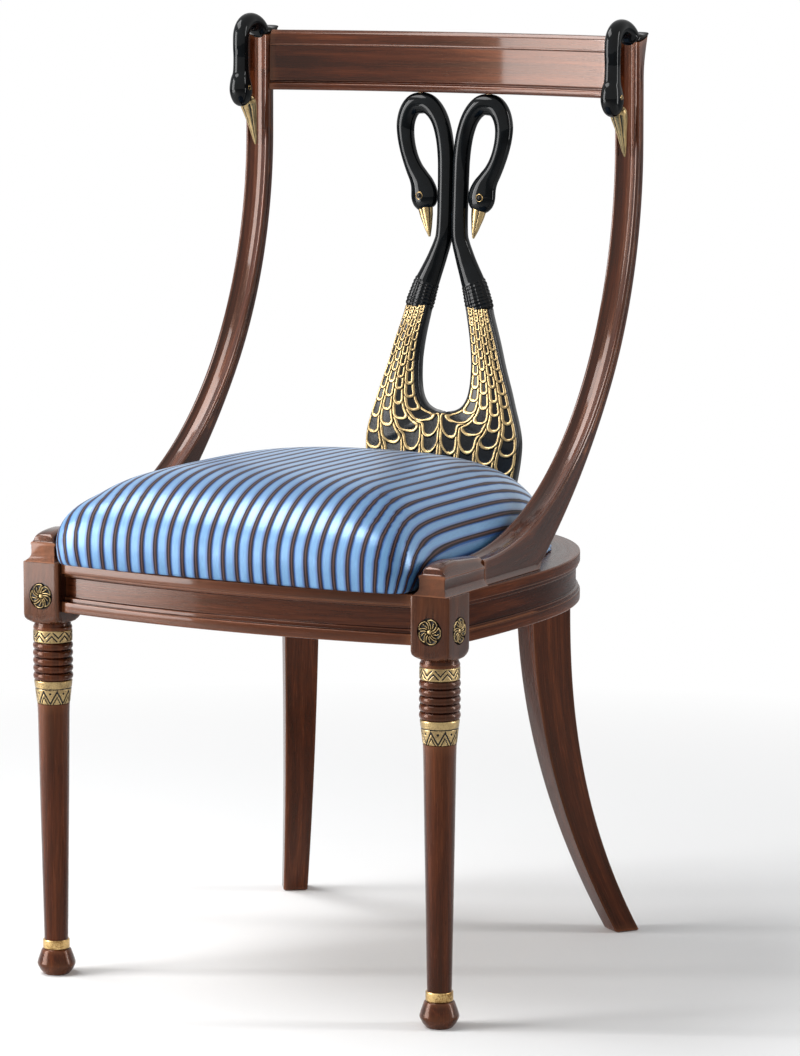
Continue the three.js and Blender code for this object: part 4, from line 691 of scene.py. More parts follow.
def makeFrontLegs():
    shaft = shell(turnedRings(shaftProfile(), leg["sides"], (chair["legX"], 0)))
    blocks = shell(blockRings())
    addPair("turned_shaft", shaft, mahoganyLeg, "mahogany", "front_leg", sharp=50)
    for side, name in ((1, "right_leg_block"), (-1, "left_leg_block")):
        part = blocks if side > 0 else mirrored(blocks)
        addPiece(name, part, mahoganyBlock, "mahogany", [name.replace("leg_block", "front_leg")], sharp=30)
        cutGrounds(name, side)
    for name, place, pattern, finish, node in (
            ("upper_band", leg["upperBand"], upperPattern, feathering, "upper_gilt_band"),
            ("lower_band", leg["lowerBand"], lowerPattern, feathering, "lower_gilt_band"),
            ("ankle_band", leg["ankleBand"], plainPattern, gilt, "ankle_ring")):
        addPair(name, bandRings(*place, pattern), finish, "gilding", node, weighted=False)
    facings = dict(front=[(1, 0, 0), (0, 0, 1), (0, -1, 0)], side=[(0, 1, 0), (0, 0, 1), (1, 0, 0)])
    for label, turn in facings.items():
        addPair(f"{label}_flower", rosetteShell(turn), feathering, "gilding", f"{label}_rosette",
                weighted=False)
        addPair(f"{label}_flower_ground", groundShell(turn), ebonised, "ebonised_wood")


makeFrontLegs()
print("front legs made")

# seat frame
rail = dict(band=10.5, lip=3.4, lipDepth=2.4, frontRecess=8.0, sideRecess=4.0, frontThick=32.0, half=191.75,
            endY=-15.0, bow=18.0, seatHalf=235.0, frontHalf=226.5, innerHalf=188.0, widestY=150.0,
            depth=268.0, backThick=36.0, power=2.3, joint=72.0, cut=0.05)  # joint and cut in degrees


def railSection(recess, thickness):
    # depth behind the outer face and height: two raised bands over a sunk frieze, each with a lip;
    # given for one or many thicknesses at once
    top, low = chair["railTop"], chair["railBottom"]
    upper, lower = top - rail["band"], low + rail["band"]
    step, lip = recess - rail["lipDepth"], rail["lip"]
    corners = [(0, top), (0, upper), (step, upper), (step, upper - lip), (recess, upper - lip - 0.8),
               (recess, lower + lip + 0.8), (step, lower + lip), (step, lower), (0, lower), (0, low)]
    thickness = np.atleast_1d(thickness)
    section = np.broadcast_to(np.array(corners, float), (len(thickness), len(corners), 2))
    tail = np.stack([np.stack([thickness, np.full_like(thickness, low)], -1),
                     np.stack([thickness, np.full_like(thickness, top)], -1)], 1)
    radius = [1.7, 1.5, 0.6, 0.9, 0.5, 0.5, 0.9, 0.6, 1.5, 1.7, 1.0, 1.0]
    return softLoop(np.concatenate([section, tail], 1), radius)


def makeFrontRail():
    # the section carried across, its face bowed forwards as 1 - (x / half)^2
    x = np.linspace(-rail["half"] + chair["gap"], rail["half"] - chair["gap"], 61)[:, None]
    face = rail["endY"] - rail["bow"] * (1 - (x / rail["half"]) ** 2)
    section = railSection(rail["frontRecess"], rail["frontThick"])[0]
    rings = np.stack(np.broadcast_arrays(x, face + section[:, 0], section[:, 1]), -1)
    addPiece("front_seat_rail", shell(rings), mahogany, "mahogany", ["front_rail"])


def horseshoe(halfWidth, depth, angle):
    # a superellipse behind the widest point of the seat
    power = 2 / rail["power"]
    across = signedPower(np.cos(angle), power)
    return np.stack([halfWidth * across, rail["widestY"] + depth * abs(np.sin(angle)) ** power], -1)


def railCurves(bend):
    # the outer and the inner edge of the horseshoe at the same angles
    return (horseshoe(rail["seatHalf"], rail["depth"], bend),
            horseshoe(rail["innerHalf"], rail["depth"] - rail["backThick"], bend))


def frameAlong(outer, inner):
    # the rail section set along the line from the outer to the inner edge at each place
    inward = inner - outer
    thickness = np.linalg.norm(inward, axis=1)
    section = railSection(rail["sideRecess"], thickness)
    flat = outer[:, None] + section[..., :1] * unit(inward)[:, None]
    return shell(np.concatenate([flat, section[..., 1:]], -1))


def makeSideAndBackRails():
    y = np.linspace(leg["blockHalf"] + chair["gap"], rail["widestY"], 24)[:-1]
    share = (rail["widestY"] - y) / (rail["widestY"] - leg["blockHalf"])
    sideOuter = np.stack([rail["seatHalf"] - (rail["seatHalf"] - rail["frontHalf"]) * share ** 2, y], -1)
    sideInner = np.stack([np.full_like(y, rail["innerHalf"]), y], -1)
    bend = np.radians(np.linspace(0.02, 1, 56) ** 1.15 * (rail["joint"] - rail["cut"]))
    outer, inner = railCurves(bend)
    side = frameAlong(np.vstack([sideOuter, outer]), np.vstack([sideInner, inner]))
    addPair("side_seat_rail", side, mahoganyRail, "mahogany", "side_rail")
    first = rail["joint"] + rail["cut"]
    back = frameAlong(*railCurves(np.radians(np.linspace(first, 180 - first, 49))))
    addPiece("back_seat_rail", back, mahoganyRail, "mahogany", ["back_rail"])


makeFrontRail()
makeSideAndBackRails()
print("seat frame made")

# rear legs
rearLeg = dict(planAngle=52.0, inset=0.5, topDepth=43.0, footDepth=27.0, topWidth=37.0, footWidth=25.5,
               footX=192.4, footY=428.0, sweep=2.2, arris=2.6)


def makeRearLegs():
    # a rectangle with softened corners whose centre sweeps out as (1 - height)^2.2
    angle = math.radians(rearLeg["planAngle"])
    outer = horseshoe(rail["seatHalf"], rail["depth"], angle)
    near = horseshoe(rail["seatHalf"], rail["depth"], np.array([angle - 2e-4, angle + 2e-4]))
    run = near[1] - near[0]
    normal = np.array([run[1], -run[0]]) / np.linalg.norm(run)
    top = outer - normal * (rearLeg["topDepth"] / 2 + rearLeg["inset"])
    reach = np.array([rearLeg["footX"], rearLeg["footY"]]) - top
    out = reach / np.linalg.norm(reach)
    side = np.array([out[1], -out[0]])
    share = np.concatenate([[0, 0.004], np.linspace(0.012, 1, 60)])
    ease = share * share * (3 - 2 * share)
    pinch = np.where(share == 0, 1.6, 0)
    depth = mix(rearLeg["footDepth"], rearLeg["topDepth"], ease) / 2 - pinch
    width = mix(rearLeg["footWidth"], rearLeg["topWidth"], share) / 2 - pinch
    square = np.array([(1, 1), (-1, 1), (-1, -1), (1, -1)], float)
    corners = square * np.stack([width, depth], -1)[:, None]
    section = softLoop(corners, rearLeg["arris"], 5)
    centre = top + reach * ((1 - share) ** rearLeg["sweep"])[:, None]
    flat = centre[:, None] + section[..., :1] * side + section[..., 1:] * out
    height = np.broadcast_to((share * chair["railBottom"])[:, None, None], (*flat.shape[:2], 1))
    addPair("sabre_leg", shell(np.concatenate([flat, height], -1)), mahoganyLeg, "mahogany", "rear_leg")


makeRearLegs()
print("rear legs made")

# caps and back posts
post = dict(width=26.5, thick=13.6, seamY=62.0, topY=387.0, sweepTop=800.0, seamHeight=23.5, heelY=172.0,
            heelPull=110.0, lean=2.0, bead=4.6, beadRise=1.2, flute=3.2, arris=3.4, heelAngle=73.0,
            freeAngle=38.0, tailReach=8.5, tailRise=34.0, cove=2.6, coveRise=6.5, rearLift=6.5,
            liftFrom=389.0, liftOver=20.0, liftFade=45.0)
cap = dict(front=4.2, step=18.5, stepDepth=1.6, height=30.0, seamHeight=26.5, nose=30.0, shoulder=0.3,
           cove=4.6, coveRise=8.0)


def leanAt(z):
    # the posts lean in evenly from the seat rail to their tops
    return -post["lean"] * (z - chair["railTop"]) / (chair["postTop"] - chair["railTop"])


def coveAt(z, reach, rise):
    # a small hollow flare where a piece stands on the rail
    return reach * np.clip(1 - (z - chair["railTop"]) / rise, 0, 1) ** 2.4


def makeCaps():
    # a plinth with a bead round its top, then a crowned nose that runs back to the seam
    front, step = cap["front"] - leg["blockHalf"], cap["step"]
    share = np.linspace(0, 1, 22)
    y = np.concatenate([[front, front + 0.5], front + cap["stepDepth"] + cap["nose"] * share ** 1.4,
                        np.linspace(front + cap["stepDepth"] + cap["nose"] + 5, post["seamY"] - 0.9, 6),
                        [post["seamY"] - 0.3]])
    nose = mix(step + cap["stepDepth"], cap["height"], np.sqrt(1 - (1 - share) ** 2))
    rear = np.linspace(cap["height"], cap["seamHeight"], 7)[1:]
    height = np.concatenate([[step + 0.2, step + 0.6], nose, rear, rear[-1:] - 0.5])
    inset = np.zeros_like(y)
    inset[0], inset[-1] = 0.6, 0.5
    half = post["width"] / 2 - inset
    shoulder = half - cap["stepDepth"]
    crown = np.linspace(-1, 1, 17)
    crownRise = np.maximum(height - step, 0.3)
    arch = mix(cap["shoulder"], 1, (1 - abs(crown) ** 3) ** (1 / 3))
    levels = [  # how far out and how high
        (0, 0), (0, 0.5), (0, 1.1), (0, 1.9), (0, 3.0), (0, 4.4), (0, 6.0), (0, 8.2), (0, step - 3.6),
        (0.7, step - 2.8), (0.9, step - 1.8), (0.7, step - 0.9), (-0.4, step - 0.1)]
    right = np.stack([np.stack([half + out, 0 * y + rise], -1) for out, rise in levels], 1)
    left = right[:, ::-1] * [-1, 1]
    top = np.stack([shoulder[:, None] * crown[::-1], step + crownRise[:, None] * arch[::-1]], -1)
    ring = np.concatenate([right, top, left], 1)
    x, z = ring[..., 0], ring[..., 1] + chair["railTop"]
    flare = coveAt(z, cap["cove"], cap["coveRise"])
    x = x + np.sign(x) * flare
    depth = np.broadcast_to(y[:, None], x.shape).copy()
    depth[:2] -= flare[:2] * 1.4
    rings = np.stack([chair["legX"] + x, depth, z], -1)
    addPair("block_cap", shell(rings), mahogany, "mahogany", "front_cap", sharp=45)


sweepReach = post["topY"] - post["seamY"]
sweepRise = post["sweepTop"] - chair["railTop"] - post["seamHeight"]


def postFront(degrees):
    # a quarter ellipse in the side view, from the seam at 90 degrees up to 0
    angle = np.radians(degrees)
    return np.stack([post["seamY"] + sweepReach * np.cos(angle),
                     post["sweepTop"] - sweepRise * np.sin(angle)], -1)


def postRear(degrees):
    # the front curve moved back by the thickness, square to it
    angle = np.radians(degrees)
    slope = np.stack([sweepRise * np.cos(angle), -sweepReach * np.sin(angle)], -1)
    return postFront(degrees) + unit(slope) * post["thick"]


def postRings(front, rear, softness):
    # beads on both front edges with a flute between, soft corners behind
    half, bead, flute = post["width"] / 2, post["bead"], post["flute"]
    depth = np.linalg.norm(rear - front, axis=1)
    inner = half - bead
    soft = post["arris"] * softness
    halfLoop = [  # from the middle of the front to the middle of the back: how far out, how far in
        (0, flute), (inner * 0.45, flute * 0.93), (inner * 0.8, flute * 0.62), (inner, post["beadRise"]),
        (half - bead * 0.8, 0.1), (half - bead * 0.5, -0.15), (half - bead * 0.2, 0.15), (half, 1.5),
        (half, np.maximum(depth * 0.5, 2.5)), (half, np.maximum(depth - soft - 6, 2.9)),
        (half, np.maximum(depth - soft - 4.5, 3.0)), (half, np.maximum(depth - soft - 3, 3.2)),
        (half, np.maximum(depth - soft - 1.6, 3.5)), (half, depth - soft * 0.9),
        (half - soft * 0.25, depth - soft * 0.28), (half - soft * 0.9, depth), (0, depth)]
    right = np.stack([np.stack(np.broadcast_arrays(*pair, depth)[:2], -1) for pair in halfLoop], 1)
    left = right[:, -2:0:-1] * [-1, 1]
    loop = softLoop(np.concatenate([right, left], 1), 0.35, 2)
    back = unit(rear - front)
    flat = front[:, None] + back[:, None] * loop[..., 1:]
    y, z = flat[..., 0], flat[..., 1]
    x = loop[..., 0]
    x = x + np.sign(x) * coveAt(z, post["cove"], post["coveRise"])
    return np.stack([chair["legX"] + x + leanAt(z), y, z], -1)


def topLift(y):
    # the top of a post slopes up towards its lifted rear edge
    return chair["postTop"] + post["rearLift"] * np.clip(
        (y - post["liftFrom"]) / post["liftOver"], 0, 1) ** 1.5


def makePosts():
    # a quarter ellipse in the side view, then straight up; behind, a heel curve runs to the rail
    footShare = np.linspace(0, 1, 22)
    foot = postFront(mix(90, post["heelAngle"], footShare))
    footY = mix(post["seamY"], post["heelY"], footShare)
    footRear = np.stack([footY, np.full_like(footY, chair["railTop"])], -1)
    heelTop = postRear(np.array([post["freeAngle"]]))[0]
    along = unit(postRear(np.array([post["freeAngle"] + 1.0]))[0] - heelTop)
    heelFoot = np.array([post["heelY"], chair["railTop"]])
    pull = heelTop + along * post["heelPull"]
    t = np.linspace(0, 1, 26)[1:-1, None]
    heel = heelFoot * (1 - t) ** 2 + pull * 2 * t * (1 - t) + heelTop * t ** 2
    heelFront = postFront(mix(post["heelAngle"], post["freeAngle"], t[:, 0]))
    sweep = post["freeAngle"] * (1 - np.linspace(0, 1, 34))
    z = np.linspace(post["sweepTop"], chair["postTop"], 16)[1:]
    flare = post["tailReach"] * np.clip(1 - (chair["postTop"] - z) / post["tailRise"], 0, 1) ** 2
    topFront = np.stack([np.full_like(z, post["topY"]), z], -1)
    topRear = np.stack([post["topY"] + post["thick"] + flare, z], -1)
    front = np.vstack([foot, heelFront, postFront(sweep), topFront])
    rear = np.vstack([footRear, heel, postRear(sweep), topRear])
    softness = np.concatenate([np.full_like(footY, 0.3), mix(0.3, 1, t[:, 0]), np.ones(len(sweep) + len(z))])
    rings = postRings(front, rear, softness)
    rings[0, :, 1] += 0.3
    near = np.clip(1 - (chair["postTop"] - rings[..., 2]) / post["liftFade"], 0, 1) ** 2
    rings[..., 2] += near * (topLift(rings[..., 1]) - chair["postTop"])
    addPair("swept_post", shell(rings), mahogany, "mahogany", "back_post", sharp=60)


makeCaps()
makePosts()
print("caps and posts made")

# swan necks on the posts
swan = dict(arc=19.0, arcRise=16.5, drop=2.0, thick=8.0, headDrop=34.0, headDepth=26.0, headWidth=21.0,
            rootY=394.0, rows=130, sides=48, eye=0.85, beakTipY=384.2, beakTipZ=786.5)


def eyeShells(centre, outward, size):
    # a small ring with a bead in it, each a turned profile, lying on the head
    ring = [(3.2, -1.6), (3.2, -0.1), (3.05, 0.35), (2.75, 0.5), (2.4, 0.3), (2.2, -0.2), (2.0, -1.6)]
    bead = [(1.9, -1.4), (1.9, -0.1), (1.6, 0.5), (0.9, 0.9), (0.05, 1.05)]
    outward = np.asarray(outward, float)
    reference = np.array([0, 0, 1.0]) if abs(outward[2]) < 0.9 else np.array([1.0, 0, 0])
    first = unit(np.cross(outward, reference))
    second = np.cross(outward, first)
    turn = np.stack([first, second, outward])
    return [shell(turnedRings(np.array(shape) * size, 28) @ turn + centre) for shape in (ring, bead)]


def flutedBeak(centres, halfAcross, halfDeep, across, power, flute):
    # a leaf whose section has lobes |cos(count turn + shift)|^0.7, with black hollows between
    # them; it is smooth at its root and at its tip
    sides = 72
    turn = (np.arange(sides) + 0.5) * 2 * np.pi / sides
    share = np.linspace(0, 1, len(centres))
    carved = (smoothStep(0.0, 0.15, share) * smoothStep(1.0, flute["until"], share))[:, None]
    lobe = abs(np.cos(turn * flute["count"] + flute["shift"] * np.pi)) ** 0.7
    ripple = 1 - flute["depth"] * (1 - lobe) * carved
    return shell(tubeRings(centres, halfAcross, halfDeep, across, sides, power, ripple),
                 gilt=1 - smoothStep(*flute["leaf"], lobe) * carved)


def makePostSwans():
    # a bent tube: it rises from the post top, arcs forwards and hangs down to the head
    rootX = chair["legX"] - post["lean"]
    arcY, arcZ = swan["rootY"] - swan["arc"], chair["postTop"] - swan["drop"]
    angle = np.radians(np.linspace(18, 180, 10))
    root = np.maximum(0, 1 - np.degrees(angle) / 85)
    arc = np.stack([
        arcY + swan["arc"] * np.cos(angle), arcZ + swan["arcRise"] * np.sin(angle),
        mix(swan["thick"], post["width"] / 2 - 0.8, root * 0.85), swan["thick"] * (1 - root * 0.2)], -1)
    rootY = swan["rootY"]
    stem = np.array([(rootY + 3.6, arcZ - 6, 11.0, 4.6), (rootY + 2.6, arcZ - 1, 11.6, 5.2)])
    neckY, headTop = arcY - swan["arc"], arcZ - swan["headDrop"]
    deep, wide = swan["headDepth"] / 2, swan["headWidth"] / 2
    rest = np.array([  # y, z, half width, half depth
        (neckY - 0.4, arcZ - 10, 7.8, 7.8), (neckY - 0.2, arcZ - 20, 7.6, 7.6),
        (neckY - 0.4, headTop - 1, 8.0, 8.3), (neckY - 1.2, headTop - 9, 9.6, 11.0),
        (neckY - 0.8, headTop - 17.5, wide, deep), (neckY + 1.2, headTop - 24.5, wide * 0.94, deep * 0.95),
        (neckY + 3.8, headTop - 29.6, wide * 0.76, deep * 0.75),
        (neckY + 5.4, headTop - 32.2, wide * 0.46, deep * 0.46), (neckY + 6.0, headTop - 33.2, 0.6, 0.6)])
    rows = smoothRows(np.vstack([stem, arc, rest]), swan["rows"])
    centres = np.stack([np.full(swan["rows"], rootX), rows[:, 0], rows[:, 1]], -1)
    neck = shell(tubeRings(centres, np.maximum(rows[:, 2], 0.4), np.maximum(rows[:, 3], 0.4), (1, 0, 0),
                           swan["sides"], 2.25))
    # the body over the post top, running back into a thin lifted tail
    y = np.array([387.3, 388.2, 391, 395, 399, 403, 407, 409.6, 411.4])
    low = topLift(y) - 0.4
    high = low + [2.6, 4.6, 7.0, 7.4, 6.0, 4.6, 3.8, 3.2, 1.6]
    half = np.array([8.5, 10.4, 12.0, 12.9, 13.2, 13.3, 13.2, 12.6, 10.4])
    body = smoothRows(np.stack([y, low, high, half], -1), 40)
    turn = (np.arange(32) + 0.5) * 2 * np.pi / 32
    u, v = signedPower(np.cos(turn), 0.6), signedPower(np.sin(turn), 0.6)
    x = rootX + body[:, 3:] * u
    z = (body[:, 2:3] + body[:, 1:2]) / 2 + (body[:, 2:3] - body[:, 1:2]) / 2 * v
    tail = shell(np.stack([x, np.broadcast_to(body[:, :1], x.shape), z], -1))
    eyeY, eyeZ = neckY - 0.5, headTop - 16.5
    addPair("post_swan_neck", [neck, tail], ebonised, "ebonised_wood", "post_swan", sharp=60, weighted=False)
    eyes = eyeShells((rootX + wide - 0.4, eyeY, eyeZ), (1, 0, 0), swan["eye"])
    eyes += eyeShells((rootX - wide + 0.4, eyeY, eyeZ), (-1, 0, 0), swan["eye"])
    addPair("post_swan_eye_rings", eyes[::2], gilt, "gilding", weighted=False)
    addPair("post_swan_eyes", eyes[1::2], ebonised, "ebonised_wood", weighted=False)
    # the beak: a fluted leaf that lies against the post
    share = np.linspace(0, 1, 40)
    width = np.interp(share, [0, 0.06, 0.2, 0.55, 0.9, 1], [8.2, 9.4, 8.6, 4.8, 2.4, 0.7])
    deepness = np.interp(share, [0, 0.05, 0.3, 0.7, 1], [4.6, 5.8, 4.4, 2.6, 0.9])
    centres = np.stack([np.full(40, rootX), mix(neckY + 10.5, swan["beakTipY"], share ** 0.8),
                        mix(headTop - 28.5, swan["beakTipZ"], share)], -1)
    flute = dict(count=3, shift=0.5, depth=0.2, until=0.8, leaf=(0.45, 0.25))
    beak = flutedBeak(centres, width, deepness, (1, 0, 0), 2.2, flute)
    addPair("post_swan_beak", beak, feathering, "gilding", sharp=60, weighted=False)


makePostSwans()
print("post swans made")

# crest rail
crest = dict(thick=13.0, endY=389.0, sagitta=28.0, band=15.0, cant=5.0, bead=8.0, groove=1.8)


def makeCrest():
    # a canted band above, a flat field, and a bead along the lower edge; the face bows back
    top, low, thick = chair["crestTop"], chair["crestBottom"], crest["thick"]
    band, bead, groove = top - crest["band"], low + crest["bead"], crest["groove"]
    corners = [(crest["cant"] + 1.2, top), (crest["cant"] * 0.66, top - 3.6), (groove + 0.5, band + 0.9),
               (groove - 0.6, band), (groove + 0.5, band - 1.0), (groove, bead + 2.2),
               (groove * 1.9, bead + 0.7), (groove * 1.4, bead - 0.4), (0.5, bead - 1.2), (0.0, bead - 4.0),
               (0.9, low + 0.8), (3.0, low), (thick, low), (thick, top)]
    radius = [1.0, 1.4, 0.8, 0.5, 0.6, 0.9, 0.5, 0.5, 1.4, 2.0, 1.2, 1.0, 1.4, 1.4]
    section = softLoop(corners, radius)
    share = np.linspace(-1, 1, 73)
    half = chair["legX"] - post["width"] / 2 + leanAt(section[:, 1]) - 0.2
    x = share[:, None] * half
    y = crest["endY"] + crest["sagitta"] * (1 - share[:, None] ** 2) + section[:, 0]
    rings = np.stack([x, y, np.broadcast_to(section[:, 1], x.shape)], -1)
    addPiece("crest_board", shell(rings), mahogany, "mahogany", ["crest_rail"])


makeCrest()
print("crest made")

# splat: two carved swans
splat = dict(bottomY=393.0, topY=424.0, half=6.5, soft=3.2, bulge=3.5, columns=4.0, pitch=17.5,
             collarPitch=9.5, relief=1.3, rim=3.6, margin=3.6, outerMargin=1.2, eye=1.3,
             meshRows=430, meshColumns=206, backColumns=24, neckRows=400, neckSides=96,
             eyeX=34.4, eyeZ=738.0, eyeOut=8.4, beakRoot=(31.4, 729.5), beakTip=(25.0, 696.5))


def splatY(z):
    # the board's middle sweeps back towards the crest as 1 - (1 - height)^1.5
    share = np.clip((z - chair["railTop"]) / (chair["crestBottom"] - chair["railTop"]), 0, 1)
    return splat["bottomY"] + (splat["topY"] - splat["bottomY"]) * (1 - (1 - share) ** 1.5)


# edges of one body from the collar down: inner x, z, then outer x, z
bodyEdges = [
    (20.2, 628.0, 48.4, 626.5), (22.1, 619.4, 50.6, 618.0), (26.5, 597.3, 59.0, 592.0),
    (29.2, 576.4, 66.0, 568.0), (29.5, 560.4, 73.5, 546.0), (28.4, 546.0, 79.0, 528.0),
    (25.6, 535.2, 83.5, 514.0), (20.4, 527.4, 86.6, 502.0), (12.8, 523.0, 88.0, 491.0),
    (5.2, 521.2, 87.6, 478.0), (0.03, 518.6, 86.2, 465.0), (0.03, 503.0, 84.0, 452.0),
    (0.03, 470.0, 80.2, 434.0), (0.03, 437.0, 77.6, 420.0), (0.03, 408.4, 76.0, 408.4)]


def featherField(across, along, width, pitch):
    # tongues hang in columns like tiles, each with a half-round end of the column's half width R:
    # a place belongs to row floor(along + (R / pitch) (1 - sqrt(1 - u^2))), and its distance d from
    # that tongue's outline gives a rounded gilt rim about a sunk black centre
    column = across * splat["columns"]
    index = np.floor(np.clip(column, 0, splat["columns"] - 1e-6))
    u = np.clip((column - index) * 2 - 1, -0.999, 0.999)
    radius = width / splat["columns"] / 2
    along = along + 0.5 * (index % 2) + 0.05 * np.sin(index * 2.4 + along * 2.1)
    q = along + radius / pitch * (1 - np.sqrt(1 - u ** 2))
    row = np.floor(q)
    down = (along - row - 1) * pitch + radius
    x = abs(u) * radius
    d = radius - np.where(down > 0, np.hypot(x, np.maximum(down, 0)), x)
    rimWidth = np.minimum(splat["rim"], radius * 0.68)
    rim = smoothStep(0.3, 0.7, d) * smoothStep(rimWidth + 0.3, rimWidth - 0.2, d)
    bead = np.sqrt(np.clip(1 - (2 * d / rimWidth - 1) ** 2, 0, 1))
    strand = smoothStep(3.2, 1.4, along)
    # below the collar the tongues run together into strands, each a chain of small beads
    chain = 0.62 + 0.38 * np.sin(along * 17 + index * 2)
    mask = np.clip(rim * (1 - 0.35 * strand) + strand * smoothStep(0.6, 1.1, d) * chain, 0, 1)
    height = 0.75 * bead + 0.35 * (q - row) + strand * 0.6 * chain * np.sqrt(np.clip(1 - u ** 2, 0, 1))
    return mask, height - 0.7 * smoothStep(0.45, 0.0, d)


def softEdge(edge):
    # half the board's thickness, less a quarter circle over its softened edges
    share = np.clip(edge / splat["soft"], 0, 1)
    return splat["half"] - splat["soft"] + splat["soft"] * np.sqrt(1 - (1 - share) ** 2)


def bodyShell():
    # a carved face between the inner and the outer edge, closed by a plain back;
    # the face bulges as sin(pi share)^0.8 and carries the feather field as relief
    rows, columns = splat["meshRows"], splat["meshColumns"]
    edges = smoothRows(bodyEdges, rows)
    inner, outer = edges[:, :2], edges[:, 2:]
    width = np.linalg.norm(outer - inner, axis=1)[:, None]
    across = np.linspace(0, 1, columns)[None, :] + 0 * width
    flat = inner[:, None] + (outer - inner)[:, None] * across[..., None]
    step = np.linalg.norm(np.diff(flat, axis=0), axis=-1)
    run = np.vstack([np.zeros((1, columns)), np.cumsum(step, axis=0)])
    # the tongues grow from the collar down to the seat
    pitch = mix(splat["collarPitch"], splat["pitch"], smoothStep(25, 150, run))
    along = np.vstack([np.zeros((1, columns)), np.cumsum(step / pitch[1:], axis=0)])
    # no margin where the two bodies meet on the middle line
    free = smoothStep(0.3, 8.0, inner[:, :1])
    margin = splat["margin"] * free
    carvedWidth = width - margin - splat["outerMargin"]
    share = (across * width - margin) / carvedWidth
    mask, height = featherField(np.clip(share, 0, 1), along, carvedWidth, pitch)
    inside = smoothStep(-0.012, 0.0, share + 0.02 * (1 - free)) * smoothStep(1.01, 0.998, share)
    edge = np.minimum(across * width + 40 * (1 - free), (1 - across) * width)
    middle = mix(across * 0.5 + 0.5, across, free)
    grown = smoothStep(0, 40, run)
    front = softEdge(edge) + splat["bulge"] * np.clip(np.sin(np.pi * middle), 0, 1) ** 0.8 * grown
    front = front + splat["relief"] * height * inside * smoothStep(0.3, 2.5, edge) * (0.4 + 0.6 * grown)
    face = np.stack([flat[..., 0], splatY(flat[..., 1]) - front, flat[..., 1]], -1)
    behind = np.linspace(1, 0, splat["backColumns"])[None, :] + 0 * width
    flat = inner[:, None] + (outer - inner)[:, None] * behind[..., None]
    depth = softEdge(np.minimum(behind, 1 - behind) * width)
    back = np.stack([flat[..., 0], splatY(flat[..., 1]) + depth, flat[..., 1]], -1)
    rings = np.concatenate([face, back], 1)
    gold = np.concatenate([mask * inside, np.zeros_like(behind)], 1)
    grain = np.stack([np.concatenate([run, run[:, :1] + 0 * behind], 1) * mm, rings[..., 0] * mm,
                      rings[..., 1] * mm], -1)
    return shell(rings, grain=grain, gilt=gold)


# rows of a neck from the collar up, over the loop and down to the head:
# x, z, half thickness in the board's plane, half thickness through it
neckRows = [
    (35.6, 623.0, 13.4, 6.2), (34.6, 627.5, 14.6, 7.2), (32.4, 634.0, 14.4, 8.0), (28.6, 646.0, 13.4, 8.2),
    (25.0, 654.5, 12.5, 8.2), (21.6, 662.5, 11.5, 8.2), (17.6, 672.0, 10.5, 8.1), (14.2, 681.0, 9.7, 8.2),
    (11.0, 690.0, 9.0, 8.4), (8.9, 699.0, 8.5, 8.5), (8.2, 716.0, 8.3, 8.5), (8.2, 736.0, 8.3, 8.5),
    (8.3, 757.0, 8.4, 8.5), (8.9, 778.0, 8.6, 8.5), (11.3, 797.0, 8.8, 8.5), (16.0, 813.0, 9.1, 8.5),
    (22.4, 823.6, 9.7, 8.5), (30.4, 830.0, 10.4, 8.5), (39.0, 831.0, 10.8, 8.5), (46.6, 829.0, 10.6, 8.5),
    (52.6, 822.0, 10.0, 8.5), (56.0, 811.0, 9.4, 8.4), (55.9, 799.0, 8.8, 8.2), (53.4, 786.0, 8.4, 8.0),
    (49.4, 774.0, 8.4, 7.8), (44.6, 764.0, 9.2, 7.8), (39.6, 756.0, 10.6, 8.2), (35.6, 748.5, 12.8, 8.8),
    (33.2, 741.0, 14.4, 9.0), (32.4, 734.5, 14.2, 8.8), (31.8, 729.0, 12.4, 7.8), (31.4, 725.5, 9.4, 6.2),
    (31.0, 723.4, 5.4, 4.0), (30.8, 722.6, 1.0, 1.0)]


def neckShell():
    # a tube along the rows
    count, sides = splat["neckRows"], splat["neckSides"]
    rows = smoothRows(neckRows, count)
    centres = np.stack([rows[:, 0], splatY(rows[:, 1]), rows[:, 1]], -1)
    # the collar carries small lozenge cuts, smooth above it
    cuts = smoothStep(622, 625, rows[:, 1]) * smoothStep(653, 650, rows[:, 1])
    cuts = cuts * (np.arange(count) < count / 2)
    turn = (np.arange(sides) + 0.5) * 2 * np.pi / sides
    lozenge = np.sin(rows[:, 1:2] * 0.9 + turn * 8) * np.sin(rows[:, 1:2] * 0.9 - turn * 8)
    ripple = 1 + (0.02 + 0.045 * np.clip(lozenge * 1.6, -1, 1)) * cuts[:, None]
    return shell(tubeRings(centres, np.maximum(rows[:, 3], 0.6), np.maximum(rows[:, 2], 0.6), (0, 1, 0),
                           sides, 2.15, ripple))


def beakShell():
    # a pointed leaf with five lobes round it, black between them
    share = np.linspace(0, 1, 36)
    (rootX, rootZ), (tipX, tipZ) = splat["beakRoot"], splat["beakTip"]
    x, z = mix(rootX, tipX, share), mix(rootZ, tipZ, share)
    width = np.interp(share, [0, 0.1, 0.35, 0.75, 1], [7.6, 8.4, 7.2, 3.8, 1.0])
    deep = np.interp(share, [0, 0.1, 0.4, 0.8, 1], [4.8, 5.6, 4.6, 2.8, 0.9])
    centres = np.stack([x, splatY(z) - 1.0, z], -1)
    flute = dict(count=2.5, shift=0.25, depth=0.16, until=0.7, leaf=(0.4, 0.22))
    return flutedBeak(centres, deep, width, (0, 1, 0), 2.0, flute)


